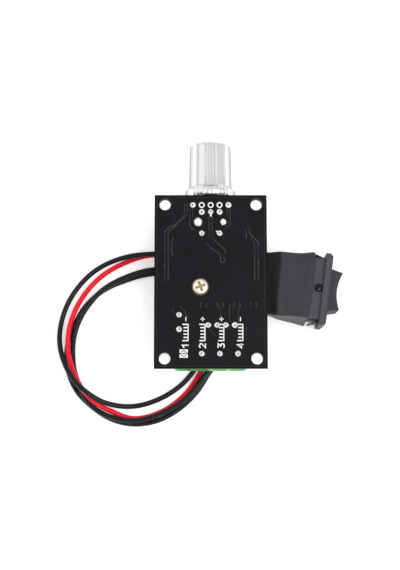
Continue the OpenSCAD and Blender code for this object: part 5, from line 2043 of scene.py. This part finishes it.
@dataclass
class Boot:
    """The soft boot over the back of the switch.

    Attributes:
        wall: Thickness of the wall.
        stations: Sections from the mouth to the tail.
        fold_slant: Turn of the fold over the back of the switch, as a slope.
        fold_zone: Places along the switch between which the section slants.
        wave: Height of the soft waves on its skin.
        wave_steps: Turns of the waves along and across, then strength and turn of their own bend.
        wave_from: Share of the height above which the waves show.
        pinch: Depth by which the side walls are drawn in.
        pinch_start: Share of the height where that begins.
        pinch_width: Width of the strip at each side that it moves.
        drop_width: Width of the strip at the upper edge that a slope lowers.
        lean_width: Width of the strip at the lower side over which its lean grows.
        corner_step: Angle between two points of a corner in degrees.
        side_steps: Steps along a side between two corners.
        corner_shrink: Share of an inset by which a corner's radius falls.
        smallest: Smallest radius of a corner.
        flat: Half of the shortest side between two corners.
        rim_out: Distance by which the rim bulges at the mouth, and the wall at the tail.
    """

    wall: float = 0.75
    stations: Sequence[BootStation] = (
        BootStation(-3.0, -10.3, 10.6, -7.4, 7.3, 1.9, 0.3, 0.3, 1.3),
        BootStation(-4.2, -10.0, 10.3, -7.4, 7.32, 1.7, 0.4, 0.25, 1.0),
        BootStation(-6.5, -9.6, 9.7, -7.4, 7.34, 1.5, 0.5, 0.1, 0.5),
        BootStation(-9.0, -9.3, 9.45, -7.42, 7.3, 1.3, 0.4, 0.0, 0.1),
        BootStation(-11.2, -9.0, 9.3, -7.42, 7.3, 1.15, 0.2, 0.0, -0.5),
        BootStation(-12.2, -8.6, 9.2, -7.42, 7.4, 1.1, 0.05, 0.0, -0.9),
        BootStation(-12.8, -8.4, 9.15, -7.42, 7.38, 1.0, 0.0, 0.0, -1.1),
        BootStation(-13.6, -8.2, 9.05, -7.42, 6.7, 1.0, 0.0, 0.0, -1.2),
        BootStation(-14.6, -8.1, 8.95, -7.42, 6.15, 1.0, 0.0, 0.0, -1.2),
        BootStation(-15.6, -8.0, 8.85, -7.42, 5.85, 1.1, 0.0, 0.0, -1.1),
        BootStation(-17.6, -8.0, 8.75, -7.42, 5.75, 1.2, 0.0, 0.0, -0.9),
        BootStation(-18.4, -8.2, 8.5, -7.4, 5.2, 1.3),
        BootStation(-18.8, -7.2, 7.4, -7.4, 2.0, 1.4),
        BootStation(-19.3, -5.4, 5.4, -7.4, -2.2, 1.5),
        BootStation(-20.1, -4.45, 4.45, -7.4, -3.6, 1.6),
    )
    fold_slant: float = 0.09
    fold_zone: Pair = (-15.0, -11.0)
    wave: float = 0.13
    wave_steps: Sequence[float] = (1.7, 0.35, 1.1, 0.5)
    wave_from: float = 0.9
    pinch: float = 0.22
    pinch_start: float = 0.1
    pinch_width: float = 0.4
    drop_width: float = 2.4
    lean_width: float = 6.0
    corner_step: int = 15
    side_steps: int = 6
    corner_shrink: float = 0.6
    smallest: float = 0.3
    flat: float = 0.05
    rim_out: Pair = (0.12, -0.1)

    def _ring(self, station: BootStation, inset: float, shift: float = 0.0) -> list[Point]:
        """One rounded section.

        Args:
            station: The section's place and size.
            inset: Distance by which the section is drawn in.
            shift: Distance by which it is moved along the switch.

        Returns:
            Its points, on the corners and along the sides.
        """
        low_y, high_y = station.low_y + inset, station.high_y - inset
        low_z, high_z = station.low_z + inset, station.high_z - inset
        radius = max(self.smallest, min(station.corner - inset * self.corner_shrink,
                                        (high_z - low_z) / 2 - self.flat))
        centres = ((high_y - radius, high_z - radius), (low_y + radius, high_z - radius),
                   (low_y + radius, low_z + radius), (high_y - radius, low_z + radius))
        ring: list[Pair] = []
        for c, (cy, cz) in enumerate(centres):
            ring += [(cy + radius * math.cos(math.radians(90 * c + a)),
                      cz + radius * math.sin(math.radians(90 * c + a)))
                     for a in range(0, 91, self.corner_step)]
            ny, nz = centres[(c + 1) % 4]
            turn = math.radians(90 * (c + 1))
            start = (cy + radius * math.cos(turn), cz + radius * math.sin(turn))
            end = (ny + radius * math.cos(turn), nz + radius * math.sin(turn))
            ring += [tuple(a + (b - a) * k / self.side_steps for a, b in zip(start, end))
                     for k in range(1, self.side_steps)]
        made: list[Point] = []
        along, skew, bend, turn_in = self.wave_steps
        first, last = self.fold_zone
        for y, z in ring:
            lift = (z - low_z) / max(SHORT_SIDE, high_z - low_z)
            across = along * station.x + skew * y + bend * math.sin(turn_in * y)
            ripple = self.wave * math.sin(across) * lift if lift > self.wave_from else 0.0
            drop = station.slope * max(0.0, (y - high_y + self.drop_width) / self.drop_width) * lift
            drawn = abs(y) > abs(high_y) - self.pinch_width
            pinch = self.pinch * math.sin(math.pi * (lift - self.pinch_start)) if drawn else 0.0
            back = station.bow * (y / high_y) ** 2
            if first < station.x < last:
                back += self.fold_slant * y * max(0.0, lift)
            side = station.lean * lift * min(1.0, max(0.0, -y / self.lean_width))
            made.append((station.x + shift - back, y - math.copysign(pinch, y) + side, z + ripple - drop))
        return made

    def build(self, bench: Bench) -> None:
        """Makes the boot as one open shell with a rolled rim.

        Args:
            bench: Where the pieces are made.
        """
        outside = [self._ring(s, 0.0) for s in self.stations]
        inside = [self._ring(s, self.wall) for s in reversed(self.stations)]
        rim, tail = ([self._ring(self.stations[end], self.wall / 2, out)]
                     for end, out in zip((0, -1), self.rim_out))
        boot = Form(SWITCH)
        boot.loft([*outside, *tail, *inside, *rim], loop=True)
        piece = bench.make(boot, "boot_shell", Slot.BOOT, stands_for=["switch_boot"], sharp=70)
        smooth = piece.modifiers.new("soft_skin", "SUBSURF")
        smooth.levels = smooth.render_levels = 1


# Studio


@dataclass(frozen=True)
class Softbox:
    """One soft light.

    Attributes:
        name: Name of the light.
        place: Its place in metres.
        size: Its width and height in metres.
        power: Its power in watts.
    """

    name: str
    place: Point
    size: Pair
    power: float


@dataclass
class Studio:
    """Pale floor, soft lights and the camera at the photograph's angle.

    Attributes:
        floor_size: Side of the floor in metres.
        target: Where the lights aim.
        lights: The soft lights.
        sky: Strength of the even light from all round.
        lens: Focal length in millimetres.
        sensor: Width of the camera's sensor in millimetres.
        near: Distance in metres from which the camera sees.
        camera_place: Place of the camera in metres.
        camera_tilt: Tilt of the camera in degrees.
    """

    floor_size: float = 6.0
    target: Point = (0.0, -0.005, -0.01)
    lights: Sequence[Softbox] = (
        Softbox("key_softbox", (0.3, -0.1, 0.6), (0.45, 0.45), 2.1),
        Softbox("fill_softbox", (-0.55, 0.2, 0.5), (0.6, 0.6), 0.4),
        Softbox("front_softbox", (-0.1, -0.7, 0.5), (0.7, 0.4), 0.15),
    )
    sky: float = 0.8
    lens: float = 74.34
    sensor: float = 36.0
    near: float = 0.01
    camera_place: Point = (-0.00304, -0.0475, 0.3297)
    camera_tilt: float = 8.0

    def camera(self) -> None:
        """Makes the camera and uses it."""
        data = bpy.data.cameras.new("photo_camera")
        data.lens = self.lens
        data.sensor_width = self.sensor
        data.sensor_fit = "AUTO"
        data.clip_start = self.near
        camera = bpy.data.objects.new("photo_camera", data)
        camera.location = self.camera_place
        camera.rotation_euler = (math.radians(self.camera_tilt), 0.0, 0.0)
        bpy.context.scene.collection.objects.link(camera)
        bpy.context.scene.camera = camera

    def build(self, bench: Bench) -> None:
        """Makes the floor, the lights and the even sky.

        Args:
            bench: Where the pieces are made; not used.
        """
        half = self.floor_size / 2
        mesh = bpy.data.meshes.new("floor")
        mesh.from_pydata([(-half, -half, 0), (half, -half, 0), (half, half, 0), (-half, half, 0)], [],
                         [(0, 1, 2, 3)])
        floor = bpy.data.objects.new("floor", mesh)
        floor.location = (0, 0, TABLE_Z * MM)
        bpy.context.scene.collection.objects.link(floor)
        mesh.materials.append(Paper().material("floor_paper"))
        for box in self.lights:
            data = bpy.data.lights.new(box.name, "AREA")
            data.shape = "RECTANGLE"
            data.size, data.size_y = box.size
            data.energy = box.power
            lamp = bpy.data.objects.new(box.name, data)
            lamp.location = box.place
            aim = Vector(self.target) - Vector(box.place)
            lamp.rotation_euler = aim.to_track_quat("-Z", "Y").to_euler()
            bpy.context.scene.collection.objects.link(lamp)
        world = bpy.data.worlds.new("even_sky")
        world.use_nodes = True
        background = world.node_tree.nodes["Background"]
        background.inputs["Color"].default_value = (1.0, 1.0, 1.0, 1.0)
        background.inputs["Strength"].default_value = self.sky
        bpy.context.scene.world = world
        bpy.context.scene.view_settings.view_transform = "Standard"
        LOG.info("studio ready")


def main() -> None:
    """Loads the frame and builds every sub-assembly in order."""
    logging.basicConfig(level=logging.INFO, format="%(name)s: %(message)s")
    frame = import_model()
    bench = Bench(frame)
    studio = Studio()
    studio.camera()
    for part in (Leads(), Board(), SolderJoints(), Tracks(), Legend(), Potentiometer(), Knob(),
                 ScrewTerminal(), HeatSink(), Header(), Capacitor(), SmallParts(), RockerSwitch(), Boot(),
                 studio):
        part.build(bench)
        LOG.info("%s built", type(part).__name__)


if __name__ == "__main__":
    main()
